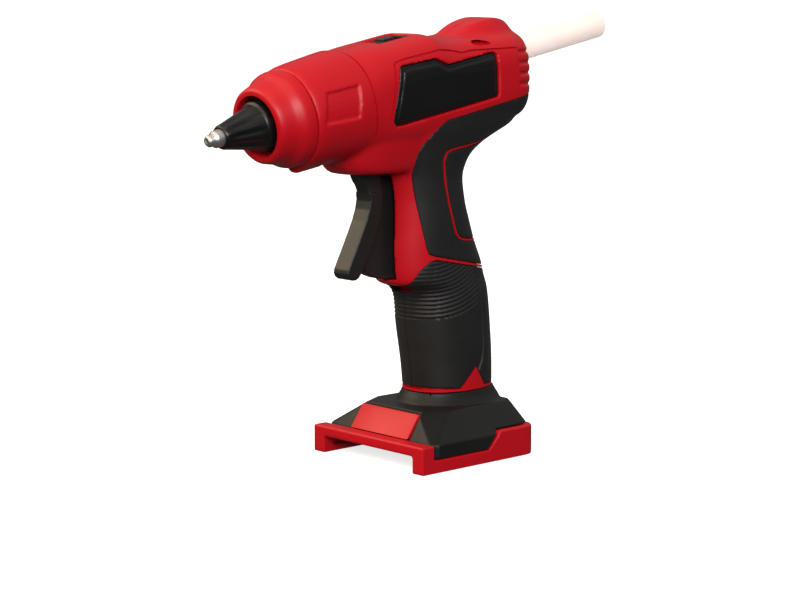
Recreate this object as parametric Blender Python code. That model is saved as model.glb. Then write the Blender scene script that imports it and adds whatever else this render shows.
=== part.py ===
"""Cordless pistol-grip hot-melt glue gun with a slide-on battery foot.

Lengths are in millimetres inside this file and become metres when a solid is finished.
+X points to the rear (the glue stick's end), -X to the nozzle, +Z up, and Y is across the gun.
The barrel has a frame of its own: "a" runs back along its axis from the nozzle's tip, "h" is square to it.
"""
import math

import bmesh
import bpy
from mathutils import Matrix, Vector

MM = 0.001
GAP = 0.3                    # clearance that touching pieces keep
WELD = 0.0002                # points nearer than this are one point

# ---- driving dimensions -------------------------------------------------------------
TIP_X, TIP_Z = -112.2, 136.4           # nozzle orifice, measured from the middle of the battery rails
BARREL_TILT = math.radians(10.3)       # the nozzle looks down by this much
STICK_END_A = 219.6                    # end of the glue stick along the barrel axis
STICK_R = 5.6
TIP_R = 1.8                            # radius of the nozzle's front face

FOOT_FRONT, FOOT_REAR, FOOT_HALF = -31.3, 35.0, 33.5
RAIL_INNER = 27.0                      # half width of the battery channel
CHANNEL_TOP = 7.0
FRAME_TOP = 11.4
PLATEAU_Z = 21.5

PIVOT_X, PIVOT_Z = -31.0, 128.5        # trigger pivot
TRIGGER_SLOT_HALF = 5.6
SKIN = 2.0                             # depth of the soft grip and of the label panels
REAR_WALL, CHIN_WALL = 4.4, 2.6        # wall of the rear and the handle, and of the chin

LINK_H = -8.2                          # height of the feed link's pins below the barrel axis
LINK_FRONT_A, LINK_REAR_A = 82.5, 108.5
JAW_A, JAW_H = 114.6, -11.6            # gripper's pin

# Barrel and body: a, top h, bottom h, half width, squareness, wall
BODY_RINGS = (
    (39.8, 19.3, -19.8, 19.4, 2.0, 3.0),
    (41.6, 20.1, -20.9, 20.3, 2.0, 3.0),
    (58.0, 21.1, -22.2, 21.4, 2.05, 3.0),
    (66.0, 21.4, -22.6, 21.8, 2.1, 3.0),
    (69.0, 20.3, -22.6, 21.6, 2.3, 3.0),
    (76.0, 20.2, -23.0, 21.8, 2.8, 3.4),
    (88.0, 19.9, -24.0, 22.0, 3.2, 4.4),
    (107.0, 19.7, -25.0, 22.0, 3.4, 4.4),
    (112.0, 17.6, -25.0, 22.0, 3.4, 4.4),
    (121.0, 15.2, -25.0, 22.0, 3.4, 4.4),
    (128.0, 14.2, -25.0, 22.0, 3.4, 4.4),
    (148.0, 12.0, -25.0, 21.6, 3.4, 4.4),
)
REAR_RINGS = (                          # x of the ring's middle, lean, top, bottom, half width, squareness
    (42.0, 3.0, 11.0, -26.0, 19.6, 3.0),
    (44.2, 0.0, 9.8, -25.0, 17.2, 2.8),
    (45.0, -1.0, 8.0, -23.5, 14.2, 2.6),
)
# Handle: z, front x, rear x, half width, squareness
HANDLE_RINGS = (
    (27.0, -6.2, 34.4, 15.8, 2.2),
    (36.0, -7.0, 34.3, 16.0, 2.2),
    (56.0, -10.0, 32.6, 16.7, 2.2),
    (66.0, -10.8, 31.1, 17.1, 2.2),
    (70.5, -13.5, 30.2, 17.3, 2.2),
    (73.8, -21.0, 29.0, 17.5, 2.25),
    (80.0, -22.2, 27.0, 17.6, 2.3),
    (88.0, -22.5, 23.2, 17.5, 2.3),
    (98.0, -22.2, 19.4, 17.4, 2.3),
    (106.0, -22.2, 16.8, 17.2, 2.3),
    (116.0, -23.5, 15.2, 17.4, 2.3),
    (122.0, -26.0, 17.0, 18.0, 2.4),
    (126.0, -28.0, 20.0, 18.6, 2.5),
    (130.5, -30.0, 27.0, 19.4, 2.6),
    (133.5, -31.0, 33.0, 20.2, 2.8),
    (137.5, -31.0, 41.5, 20.8, 3.0),
    (141.0, -31.0, 44.4, 21.0, 3.0),
    (148.0, -31.0, 44.4, 20.4, 3.0),
)
CHIN_RINGS = (
    (119.6, -46.0, -4.0, 13.5, 2.6),
    (121.5, -48.3, -4.0, 15.2, 2.6),
    (126.0, -50.0, -4.0, 16.8, 2.6),
    (134.0, -50.5, -4.0, 18.6, 2.6),
)
HUMP_OUTLINE = ((9.0, 171.5), (13.5, 173.8), (18.5, 176.8), (25.0, 179.2), (32.0, 180.4), (37.5, 179.9),
                (42.0, 176.6), (44.4, 171.5), (44.8, 162.0), (14.0, 162.0))
HUMP_HALF = 14.0

# Outlines seen from the side, in x and z
UPPER_GRIP = ((60.0, 153.0), (34.8, 147.7), (-6.0, 140.4), (-14.0, 134.0), (-18.6, 128.0), (-19.2, 121.0),
              (-15.6, 103.5), (-12.4, 88.8), (-11.2, 86.0), (-8.4, 84.9), (12.0, 80.6), (60.0, 70.5))
PAD = ((60.0, 135.0), (28.0, 131.5), (10.0, 129.2), (-2.6, 127.6), (-4.8, 124.8), (-3.0, 113.9),
       (-0.8, 105.6), (1.8, 97.0), (3.0, 93.8), (5.8, 91.6), (12.0, 90.5), (60.0, 86.0))
LOWER_GRIP = ((-22.0, 73.4), (-19.8, 79.6), (-16.6, 82.4), (-9.2, 84.0), (12.0, 79.6), (60.0, 69.6),
              (60.0, 28.6), (20.5, 28.4), (14.2, 37.0), (6.0, 28.4), (-30.0, 30.6), (-30.0, 69.5),
              (-14.0, 69.5))
# The label panel's outline, in a and h
LABEL = ((84.7, 11.2), (103.2, 10.4), (109.4, 6.6), (135.0, 6.2), (137.2, 4.4), (134.8, -11.8), (80.4, -11.4),
         (77.2, -10.2), (77.0, -7.6))
# Cheek screws across the gun: x, z, y of the seat under the head
SHELL_SCREWS = {
    "chin_screw": (-46.2, 127.0, 9.5),
    "barrel_screw": (-39.0, 164.4, 9.5),
    "body_screw_rear_top": (29.0, 174.0, 8.5),
    "body_screw_rear_low": (29.0, 142.5, 13.0),
    "handle_screw_upper": (16.0, 85.2, 9.5),
    "handle_screw_lower": (22.5, 46.0, 8.5),
}
SCREW_R, SCREW_HEAD_R = 1.45, 2.9
FOOT_SCREWS = ((-16.0, -30.2), (-16.0, 30.2), (20.0, -30.2), (20.0, 30.2))

# Turned profiles: a along the barrel, radius
COLLAR_PROFILE = ((24.6, 12.3), (24.6, 14.2), (25.6, 15.1), (31.2, 16.7), (33.4, 18.2), (35.6, 19.1),
                  (39.2, 19.3), (39.2, 16.6), (34.0, 14.4), (31.0, 12.3))
TIP_PROFILE = ((0.0, 0.9), (0.0, TIP_R), (0.7, 2.3), (2.8, 2.6), (3.8, 3.4), (10.0, 3.7), (29.0, 4.6),
               (29.0, 1.6), (14.0, 0.9))
SLEEVE_PROFILE = ((6.4, 3.9), (6.4, 4.3), (7.4, 4.9), (19.0, 7.8), (23.4, 8.9), (24.0, 9.8), (28.6, 9.9),
                  (28.6, 5.0), (10.4, 4.05))
CHAMBER_PROFILE = ((29.3, 2.0), (29.3, 8.0), (36.0, 8.6), (38.0, 10.2), (70.0, 10.2), (70.0, 6.4),
                   (50.0, 6.1), (36.0, 2.2))
INLET_SEAL_PROFILE = ((70.3, 6.0), (70.3, 7.6), (86.0, 7.6), (86.0, 6.9), (84.0, 6.0))
GUIDE_PROFILE = ((146.0, 6.1), (146.0, 7.9), (158.6, 7.9), (158.6, 6.9), (156.6, 6.1))

# Trigger, in x and z: the finger blade, and the web behind it that runs in the handle's slot
BLADE = ((-34.5, 127.0), (-36.6, 122.0), (-38.4, 119.2), (-35.6, 116.6), (-32.4, 113.6), (-30.9, 109.6),
         (-31.2, 105.6), (-34.0, 98.0), (-37.0, 91.0), (-42.8, 82.4), (-43.9, 80.0), (-43.2, 78.2),
         (-41.0, 77.2), (-38.2, 77.9), (-36.4, 80.4), (-31.6, 88.6), (-27.8, 98.0), (-26.2, 106.0),
         (-26.4, 114.0), (-27.4, 127.0))
WEB = ((-32.0, 126.0), (-33.0, 118.0), (-30.6, 108.0), (-34.6, 94.0), (-38.4, 85.6), (-35.6, 81.6),
       (-32.6, 78.4), (-27.6, 76.3), (-22.0, 75.6), (-14.0, 75.6), (-12.0, 90.0), (-14.0, 110.0),
       (-24.0, 127.0), (-28.0, 129.0))
BLADE_HALF, WEB_HALF = 4.2, 2.2
SPRING_R, SPRING_PITCH, SPRING_TURNS, SPRING_STEPS = 3.0, 1.15, 3, 12
SPRING_START_Y = -6.0
SPRING_LEGS = (4.0, 9.0)               # lengths of the lower and the upper leg
SPRING_WIRE_R = 0.4

# Foot: corners of the cover's lower and upper plan, in x and y, and the collar round the handle's base
COVER_LOW = ((-24.2, -30.0), (-21.8, -33.0), (34.4, -33.0), (34.4, 33.0), (-21.8, 33.0), (-24.2, 30.0))
COVER_TOP = ((-17.4, -16.0), (-5.0, -22.0), (33.0, -21.5), (33.0, 21.5), (-5.0, 22.0), (-17.4, 16.0))
COVER_LEVELS = (5.5, 11.0)             # foot and shoulder of the cover's upright sides
COLLAR_X = 14.4
HANDLE_COLLAR = ((15.0, 20.0, 19.6), (20.6, 19.8, 20.0), (22.6, 22.6, 18.4), (26.6, 20.6, 16.2))
FOOT_SCREW_TOP = 11.0                  # end of the foot screws' shanks
FOOT_CORNER = 7.0                      # radius of the rear corners
CONTACT_SLOTS = (-9.0, -3.0, 3.0, 9.0)
CONTACT_BLADES = (-9.0, -3.0, 9.0)

# ---- finishes: colour, roughness, metallic ------------------------------------------------
FINISHES = {
    "red_shell": ((0.42, 0.004, 0.010), 0.38, 0.0),
    "soft_grip": ((0.016, 0.015, 0.015), 0.75, 0.0),
    "black_plastic": ((0.020, 0.020, 0.020), 0.45, 0.0),
    "silicone": ((0.006, 0.006, 0.007), 0.5, 0.0),
    "aluminium": ((0.72, 0.72, 0.73), 0.35, 1.0),
    "steel": ((0.55, 0.55, 0.56), 0.3, 1.0),
    "zinc_screw": ((0.35, 0.35, 0.36), 0.35, 1.0),
    "brass": ((0.78, 0.57, 0.25), 0.3, 1.0),
    "ceramic": ((0.78, 0.76, 0.70), 0.6, 0.0),
    "mica": ((0.55, 0.42, 0.26), 0.7, 0.0),
    "glue": ((0.88, 0.80, 0.72), 0.3, 0.0),
    "board_green": ((0.02, 0.16, 0.06), 0.5, 0.0),
    "white_nylon": ((0.75, 0.74, 0.70), 0.5, 0.0),
}


# ---- the barrel's frame ----------------------------------------------------------------------
COS_T, SIN_T = math.cos(BARREL_TILT), math.sin(BARREL_TILT)
FRONT_X = TIP_X - TIP_R * SIN_T
REAR_X = TIP_X + STICK_END_A * COS_T + STICK_R * SIN_T
ORIGIN_X = (FRONT_X + REAR_X) / 2      # middle of the whole length, which is the part's origin


def barrel_point(a, y, h):
    """Point at a along the barrel axis, y across and h above the axis."""
    return Vector((TIP_X + a * COS_T - h * SIN_T, y, TIP_Z + a * SIN_T + h * COS_T))


BARREL = Matrix(((COS_T, 0, -SIN_T, TIP_X), (0, 1, 0, 0), (SIN_T, 0, COS_T, TIP_Z), (0, 0, 0, 1)))


# ---- mesh tools --------------------------------------------------------------------------------
def clear_scene():
    for obj in list(bpy.data.objects):
        bpy.data.objects.remove(obj, do_unlink=True)


def finish_material(name):
    material = bpy.data.materials.get(name)
    if material is None:
        colour, roughness, metallic = FINISHES[name]
        material = bpy.data.materials.new(name)
        material.use_nodes = True
        shader = material.node_tree.nodes["Principled BSDF"]
        shader.inputs["Base Color"].default_value = (*colour, 1.0)
        shader.inputs["Roughness"].default_value = roughness
        shader.inputs["Metallic"].default_value = metallic
        material.diffuse_color = (*colour, 1.0)
    return material


def superellipse(count, semi_u, semi_v, power):
    """Points round a superellipse; power 2 is an ellipse, larger is squarer."""
    points = []
    for step in range(count):
        angle = 2 * math.pi * step / count
        cos_a, sin_a = math.cos(angle), math.sin(angle)
        u = math.copysign(abs(cos_a) ** (2 / power), cos_a) * semi_u
        v = math.copysign(abs(sin_a) ** (2 / power), sin_a) * semi_v
        points.append((u, v))
    return points


def loft(rings):
    """Closed bmesh through rings of points, each ring with the same count."""
    bm = bmesh.new()
    loops = [[bm.verts.new(point) for point in ring] for ring in rings]
    count = len(loops[0])
    for lower, upper in zip(loops, loops[1:]):
        for step in range(count):
            after = (step + 1) % count
            bm.faces.new((lower[step], lower[after], upper[after], upper[step]))
    bm.faces.new(loops[0])
    bm.faces.new(loops[-1])
    bmesh.ops.recalc_face_normals(bm, faces=bm.faces)
    return bm


def prism(outline, low, high, frame=None):
    """Closed bmesh from an outline in x and z, extruded along y from low to high."""
    bm = loft([[(x, y, z) for x, z in outline] for y in (low, high)])
    if frame is not None:
        bmesh.ops.transform(bm, matrix=frame, verts=bm.verts)
    return bm


def block(x0, x1, y0, y1, z0, z1, frame=None):
    """Closed box between three pairs of limits."""
    return prism(((x0, z0), (x1, z0), (x1, z1), (x0, z1)), y0, y1, frame)


def round_bar(start, end, radius, count=16):
    """Closed cylinder between two points."""
    start, end = Vector(start), Vector(end)
    turn = (end - start).to_track_quat("Z", "Y").to_matrix()
    circle = [turn @ Vector((u, v, 0.0)) for u, v in superellipse(count, radius, radius, 2)]
    return loft([[start + point for point in circle], [end + point for point in circle]])


def turned(profile, count=24):
    """Ring turned about the barrel axis from an (a, radius) outline."""
    bm = bmesh.new()
    for step in range(count):
        angle = 2 * math.pi * step / count
        for a, radius in profile:
            bm.verts.new(barrel_point(a, radius * math.cos(angle), radius * math.sin(angle)))
    bm.verts.ensure_lookup_table()
    points = len(profile)
    for step in range(count):
        this, after = step * points, (step + 1) % count * points
        for i in range(points):
            j = (i + 1) % points
            bm.faces.new((bm.verts[this + i], bm.verts[this + j], bm.verts[after + j], bm.verts[after + i]))
    bmesh.ops.recalc_face_normals(bm, faces=bm.faces)
    return bm


def scratch(bm, name):
    mesh = bpy.data.meshes.new(name)
    bm.to_mesh(mesh)
    obj = bpy.data.objects.new(name, mesh)
    bpy.context.collection.objects.link(obj)
    return obj


def boolean(base, tool, operation):
    """New bmesh: base joined with, cut by or met with tool. MANIFOLD is for where EXACT leaves a gap."""
    first, second = scratch(base, "base"), scratch(tool, "tool")
    modifier = first.modifiers.new("Boolean", "BOOLEAN")
    modifier.operation = operation
    modifier.object = second
    for solver in ("EXACT", "MANIFOLD"):
        modifier.solver = solver
        graph = bpy.context.evaluated_depsgraph_get()
        graph.update()
        result = bmesh.new()
        result.from_mesh(first.evaluated_get(graph).to_mesh())
        bmesh.ops.remove_doubles(result, verts=result.verts, dist=WELD)
        if all(edge.is_manifold for edge in result.edges):
            break
    bpy.data.objects.remove(first, do_unlink=True)
    bpy.data.objects.remove(second, do_unlink=True)
    return result


def joined(*pieces):
    result = pieces[0]
    for piece in pieces[1:]:
        result = boolean(result, piece, "UNION")
    return result


def cut(base, *tools):
    for tool in tools:
        base = boolean(base, tool, "DIFFERENCE")
    return base


def meet(base, tool):
    return boolean(base, tool, "INTERSECT")


def finish(name, bm, material, pivot=(ORIGIN_X, 0.0, 0.0), smooth=40):
    """Make the named object in metres, with its origin at pivot."""
    bmesh.ops.triangulate(bm, faces=bm.faces)
    bmesh.ops.transform(bm, matrix=Matrix.Scale(MM, 4) @ Matrix.Translation(-Vector(pivot)), verts=bm.verts)
    mesh = bpy.data.meshes.new(name)
    bm.to_mesh(mesh)
    bm.free()
    mesh.materials.append(finish_material(material))
    mesh.shade_smooth()
    mesh.set_sharp_from_angle(angle=math.radians(smooth))
    obj = bpy.data.objects.new(name, mesh)
    obj.location = (Vector(pivot) - Vector((ORIGIN_X, 0.0, 0.0))) * MM
    bpy.context.collection.objects.link(obj)
    return obj


# ---- the shell -----------------------------------------------------------------------------------
def body_form(inset, count=20, hollow=False):
    """Barrel and body, drawn in by inset; hollow draws in by each ring's wall and opens the front."""
    rings = []
    for a, top, bottom, half, power, wall in BODY_RINGS:
        shrink = wall if hollow else inset
        start = a - 3.0 if hollow and a < 40 else a
        middle, semi = (top + bottom) / 2, (top - bottom) / 2 - shrink
        ring = superellipse(count, half - shrink, semi, power)
        rings.append([barrel_point(start, y, middle + h) for y, h in ring])
    wall = REAR_WALL if hollow else inset
    for x, lean, top, bottom, half, power in REAR_RINGS:
        middle, semi = (top + bottom) / 2, (top - bottom) / 2 - wall
        base_z = TIP_Z + (x - TIP_X) * math.tan(BARREL_TILT)
        lean = math.radians(lean)
        points = []
        for y, h in superellipse(count, half - wall, semi, power):
            rise = middle + h
            points.append(Vector((x - wall * 0.9 - rise * math.sin(lean), y, base_z + rise * math.cos(lean))))
        rings.append(points)
    return loft(rings)


def standing_form(table, inset, low, count=20):
    """Closed form through level rings of (z, front, rear, half width, squareness), its foot moved to low."""
    rings = []
    for z, front, rear, half, power in table:
        if z == table[0][0]:
            z = low
        middle, semi = (front + rear) / 2, (rear - front) / 2 - inset
        rings.append([(middle + x, y, z) for x, y in superellipse(count, semi, half - inset, power)])
    return loft(rings)


def hump_form(inset):
    """Hump over the stick's inlet, drawn in by inset."""
    middle_x, middle_z = 30.0, 170.0
    outline = []
    for x, z in HUMP_OUTLINE:
        reach = Vector((x - middle_x, z - middle_z))
        reach *= max(reach.length - inset, 0.1) / reach.length
        outline.append((middle_x + reach.x, middle_z + reach.y))
    bm = prism(outline, -HUMP_HALF + inset, HUMP_HALF - inset)
    edges = [edge for edge in bm.edges if abs(edge.verts[0].co.y - edge.verts[1].co.y) < 0.01]
    edges = [edge for edge in edges if min(v.co.z for v in edge.verts) > middle_z]
    bmesh.ops.bevel(bm, geom=edges, offset=2.5, segments=1, profile=0.5, affect="EDGES")
    return bm


def gun_form(inset):
    """Outer form of the whole shell, drawn in by inset."""
    return joined(body_form(inset), standing_form(HANDLE_RINGS, inset, HANDLE_RINGS[0][0] - inset * 0.5),
                  standing_form(CHIN_RINGS, inset, CHIN_RINGS[0][0] + inset), hump_form(inset))


def gun_hollow():
    """Room inside the shell, open at the nozzle and at the foot."""
    handle = standing_form(HANDLE_RINGS, REAR_WALL, HANDLE_RINGS[0][0] - 7.0)
    chin = standing_form(CHIN_RINGS, CHIN_WALL, CHIN_RINGS[0][0] + 3.8)
    return joined(body_form(0.0, hollow=True), handle, chin)


def side_prism(outline, grow=0.0, frame=None):
    """Outline right across the gun; grow moves it outward about its middle."""
    middle = sum((Vector(point) for point in outline), Vector((0.0, 0.0))) / len(outline)
    points = []
    for point in outline:
        reach = Vector(point) - middle
        points.append(tuple(middle + reach * (1 + grow / reach.length)))
    return prism(points, -40.0, 40.0, frame)


def screw_cutters():
    """Clearance for every screw through the shell, its boss hole and its head."""
    pieces = []
    for x, z, seat in SHELL_SCREWS.values():
        pieces.append(round_bar((x, -9.4, z), (x, seat + 0.1, z), SCREW_R + 0.25, 12))
        pieces.append(round_bar((x, seat - 0.3, z), (x, 40.0, z), SCREW_HEAD_R + 0.4, 16))
    return pieces


def screw_bosses(form):
    """Pillars for the shell screws, trimmed to the form."""
    bosses = [round_bar((x, -30.0, z), (x, 30.0, z), 3.9, 12) for x, z, _ in SHELL_SCREWS.values()]
    return [meet(boss, form.copy()) for boss in bosses]


def halves_of(whole):
    """The left and the right half of a form, parted in the middle."""
    for side, low, high in (("left", -60.0, -GAP / 2), ("right", GAP / 2, 60.0)):
        yield side, meet(whole.copy(), block(-200, 200, low, high, -50, 300))


def build_shell():
    """Two shell halves, hollow, with every pocket, slot and screw seat cut."""
    outer = gun_form(0.0)
    shell = cut(outer.copy(), gun_hollow())
    shell = joined(shell, *screw_bosses(gun_form(0.6)))
    shell = cut(shell, *screw_cutters())
    slot = TRIGGER_SLOT_HALF
    shell = cut(
        shell,
        block(-41.6, 2.0, -slot, slot, 75.1, 131.0),                                     # trigger's slot
        round_bar((PIVOT_X, -16.4, PIVOT_Z), (PIVOT_X, 16.4, PIVOT_Z), 1.9, 12),         # trigger pin's seats
        block(87.5, 107.6, -6.6, 6.6, 18.0, 24.0, BARREL),                               # switch recess
        block(91.6, 104.0, -3.6, 3.6, 10.0, 24.0, BARREL),                               # switch window
        round_bar(barrel_point(140, 0, 0), barrel_point(176, 0, 0), 8.4, 24),            # stick's inlet
    )
    label_depth = cut(side_prism(LABEL, 0.3, BARREL), block(-200, 200, -19.6, 19.6, 0, 300))
    pocket = cut(joined(side_prism(UPPER_GRIP, 0.3), side_prism(LOWER_GRIP, 0.3)), gun_form(SKIN + GAP))
    shell = cut(shell, pocket, label_depth)
    for side, half in halves_of(shell):
        finish("housing_" + side, half, "red_shell")
    build_skins(outer, gun_form(SKIN))


def build_skins(outer, core):
    """Soft grips, back pad and label panels, laid into the shell's pockets."""
    slot = block(-41.6, 2.0, -TRIGGER_SLOT_HALF, TRIGGER_SLOT_HALF, 70.0, 131.0)

    def skin(outline):
        return cut(meet(outer.copy(), side_prism(outline)), core.copy(), slot.copy())

    upper = cut(skin(UPPER_GRIP), side_prism(PAD, 0.8), *screw_cutters())
    lower = cut(skin(LOWER_GRIP), *screw_cutters())
    finish("backstrap_pad", skin(PAD), "soft_grip")
    for name, whole in (("grip_upper_", upper), ("grip_lower_", lower)):
        for side, half in halves_of(whole):
            finish(name + side, half, "soft_grip")
    plate = meet(outer.copy(), side_prism(LABEL, 0.0, BARREL))
    finish("label_panel_left", meet(plate.copy(), block(-200, 200, -60, -19.9, 0, 300)), "black_plastic")
    finish("label_panel_right", meet(plate.copy(), block(-200, 200, 19.9, 60, 0, 300)), "black_plastic")


def build_screws():
    """Six shell screws and four foot screws, each with its drive."""
    for name, (x, z, seat) in SHELL_SCREWS.items():
        head = round_bar((x, seat, z), (x, seat + 2.2, z), SCREW_HEAD_R, 16)
        shank = round_bar((x, -9.0, z), (x, seat + 0.5, z), SCREW_R, 12)
        drive = block(x - 1.6, x + 1.6, seat + 1.0, seat + 3.0, z - 0.4, z + 0.4)
        drive = joined(drive, block(x - 0.4, x + 0.4, seat + 1.0, seat + 3.0, z - 1.6, z + 1.6))
        finish(name, cut(joined(head, shank), drive), "zinc_screw")
    for number, (x, y) in enumerate(FOOT_SCREWS, 1):
        head = round_bar((x, y, 1.4), (x, y, 3.0), 2.4, 16)
        shank = round_bar((x, y, 2.5), (x, y, FOOT_SCREW_TOP), 1.2, 10)
        slot = block(x - 1.4, x + 1.4, y - 0.35, y + 0.35, 0.5, 2.1)
        finish(f"foot_screw_{number}", cut(joined(head, shank), slot), "zinc_screw")


# ---- nozzle and melt chamber ---------------------------------------------------------------------
def build_nozzle():
    """Collar, nozzle, sleeve, and the melt chamber with its heater."""
    finish("front_collar", turned(COLLAR_PROFILE, 28), "red_shell")
    finish("nozzle_tip", turned(TIP_PROFILE, 20), "steel")
    finish("nozzle_sleeve", turned(SLEEVE_PROFILE), "silicone")
    finish("melt_chamber", turned(CHAMBER_PROFILE), "aluminium")
    finish("heater_plate", block(45.0, 63.0, -6.0, 6.0, -13.2, -10.6, BARREL), "ceramic")
    clip_shape = ((-11.3, 2.0), (-11.3, -14.2), (11.3, -14.2), (11.3, 2.0),
                  (10.6, 2.0), (10.6, -13.5), (-10.6, -13.5), (-10.6, 2.0))
    clip = loft([[barrel_point(a, y, h) for y, h in clip_shape] for a in (49.0, 59.0)])
    finish("heater_clip", clip, "steel")
    for name, a in (("chamber_ring_front", 41.8), ("chamber_ring_rear", 65.4)):
        finish(name, turned(((a, 10.5), (a, 15.6), (a + 2.2, 15.6), (a + 2.2, 10.5))), "mica")
    finish("inlet_sleeve", turned(INLET_SEAL_PROFILE), "silicone")
    sensor = round_bar(barrel_point(52, 0, 12.2), barrel_point(60, 0, 12.2), 1.7, 12)
    finish("thermal_sensor", sensor, "ceramic")


# ---- feed ---------------------------------------------------------------------------------------------
def barrel_bar(a, h, y0, y1, radius, count=16):
    """Closed cylinder across the gun at a place on the barrel's axes."""
    return round_bar(barrel_point(a, y0, h), barrel_point(a, y1, h), radius, count)


def build_feed():
    """Carriage, gripper, link and pins that push the glue stick, the stick and its guide."""
    carriage = block(104.6, 120.0, -9.0, 9.0, -14.4, 9.2, BARREL)
    carriage = cut(
        carriage,
        round_bar(barrel_point(100, 0, 0), barrel_point(124, 0, 0), 6.3, 24),
        block(110.6, 118.6, -4.0, 4.0, -20.0, -4.0, BARREL),
        barrel_bar(LINK_REAR_A, LINK_H, 4.0, 12.0, 1.6, 12),
        barrel_bar(JAW_A, JAW_H, -12.0, 12.0, 1.5, 12),
    )
    finish("feed_carriage", carriage, "white_nylon", barrel_point(112.3, 0, 0))
    jaw = block(111.3, 117.9, -3.6, 3.6, -14.0, -6.9, BARREL)
    for step in range(4):
        notch = 111.3 + 0.8 + 1.65 * step
        jaw = cut(jaw, prism(((notch, -7.8), (notch + 0.8, -6.0), (notch - 0.8, -6.0)), -5.0, 5.0, BARREL))
    jaw = cut(jaw, barrel_bar(JAW_A, JAW_H, -5.0, 5.0, 1.5, 12))
    finish("gripper_jaw", jaw, "steel", barrel_point(JAW_A, 0, JAW_H))
    finish("gripper_pin", barrel_bar(JAW_A, JAW_H, -8.8, 8.8, 1.2, 12), "steel")
    link = joined(block(LINK_FRONT_A, LINK_REAR_A, 9.6, 11.8, LINK_H - 2.2, LINK_H + 2.2, BARREL),
                  barrel_bar(LINK_FRONT_A, LINK_H, 9.6, 11.8, 3.4),
                  barrel_bar(LINK_REAR_A, LINK_H, 9.6, 11.8, 3.0))
    link = cut(link, barrel_bar(LINK_FRONT_A, LINK_H, 8.0, 14.0, 2.1, 12),
               barrel_bar(LINK_REAR_A, LINK_H, 8.0, 14.0, 1.55, 12))
    finish("feed_link", link, "steel", barrel_point(LINK_REAR_A, 0, LINK_H))
    finish("link_pin_rear", barrel_bar(LINK_REAR_A, LINK_H, 4.6, 12.6, 1.25, 12), "steel")
    finish("link_pin_front", barrel_bar(LINK_FRONT_A, LINK_H, 5.6, 12.6, 1.25, 12), "steel")
    stick = round_bar(barrel_point(61.0, 0, 0), barrel_point(STICK_END_A, 0, 0), STICK_R, 24)
    finish("glue_stick", stick, "glue", barrel_point(62.0, 0, 0))
    finish("stick_guide", turned(GUIDE_PROFILE), "black_plastic")


def build_trigger():
    """Finger lever in one piece with its web, its hub and the arm that moves the feed link."""
    arm_base = Vector((PIVOT_X, PIVOT_Z))
    front = barrel_point(LINK_FRONT_A, 0, LINK_H)
    arm_tip = Vector((front.x, front.z))
    along = (arm_tip - arm_base).normalized()
    side = Vector((-along.y, along.x)) * 2.5
    arm = [tuple(arm_base + side), tuple(arm_base - side), tuple(arm_tip - side), tuple(arm_tip + side)]
    trigger = joined(
        prism(BLADE, -BLADE_HALF, BLADE_HALF),
        prism(WEB, -WEB_HALF, WEB_HALF),
        round_bar((PIVOT_X, -5.0, PIVOT_Z), (PIVOT_X, 9.0, PIVOT_Z), 5.0),
        prism(arm, 6.0, 9.0),
        round_bar((front.x, 6.0, front.z), (front.x, 9.0, front.z), 2.6),
    )
    trigger = cut(trigger, round_bar((PIVOT_X, -20.0, PIVOT_Z), (PIVOT_X, 20.0, PIVOT_Z), 1.8, 12),
                  round_bar((front.x, 0.0, front.z), (front.x, 20.0, front.z), 1.55, 12))
    finish("trigger", trigger, "black_plastic", (PIVOT_X, 0.0, PIVOT_Z))
    finish("trigger_pin", round_bar((PIVOT_X, -16.0, PIVOT_Z), (PIVOT_X, 16.0, PIVOT_Z), 1.5, 12), "steel")


def build_trigger_spring():
    """Torsion spring round the trigger's pin, with one leg up and one along the web."""
    points = [(PIVOT_X + SPRING_R, SPRING_START_Y, PIVOT_Z - SPRING_LEGS[0])]
    for step in range(SPRING_TURNS * SPRING_STEPS + 5):
        angle = 2 * math.pi * step / SPRING_STEPS
        y = SPRING_START_Y - SPRING_PITCH * step / SPRING_STEPS
        points.append((PIVOT_X + SPRING_R * math.cos(angle), y, PIVOT_Z + SPRING_R * math.sin(angle)))
    x, y, z = points[-1]
    leg = math.radians(60)
    points.append((x + SPRING_LEGS[1] * math.cos(leg), y, z + SPRING_LEGS[1] * math.sin(leg)))
    curve = bpy.data.curves.new("trigger_spring", "CURVE")
    curve.dimensions = "3D"
    curve.bevel_depth = SPRING_WIRE_R * MM
    curve.bevel_resolution = 0
    curve.use_fill_caps = True
    curve.materials.append(finish_material("steel"))
    spline = curve.splines.new("POLY")
    spline.points.add(len(points) - 1)
    for target, (x, y, z) in zip(spline.points, points):
        target.co = ((x - ORIGIN_X) * MM, y * MM, z * MM, 1.0)
    bpy.context.collection.objects.link(bpy.data.objects.new("trigger_spring", curve))


# ---- switch and electronics ------------------------------------------------------------------------
def build_electrics():
    """Switch, control board, and the contacts for the battery."""
    finish("switch_body", block(89.0, 106.6, -5.0, 5.0, 10.4, 14.6, BARREL), "black_plastic")
    knob = joined(block(92.4, 98.0, -3.0, 3.0, 15.0, 19.2, BARREL),
                  block(93.2, 97.2, -3.0, 3.0, 19.0, 20.0, BARREL))
    finish("power_switch", knob, "black_plastic", barrel_point(95.2, 0, 18.0))
    finish("control_board", block(1.0, 17.0, 3.0, 4.6, 33.0, 70.0), "board_green")
    block_body = block(8.0, 26.0, -13.0, 13.0, 1.6, 6.6)
    for y in CONTACT_SLOTS:
        block_body = cut(block_body, block(0.0, 12.4, y - 0.9, y + 0.9, 2.6, 5.8))
    finish("contact_block", block_body, "black_plastic")
    for number, y in enumerate(CONTACT_BLADES, 1):
        finish(f"contact_blade_{number}", block(-1.0, 12.0, y - 0.4, y + 0.4, 3.0, 5.4), "brass")


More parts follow.
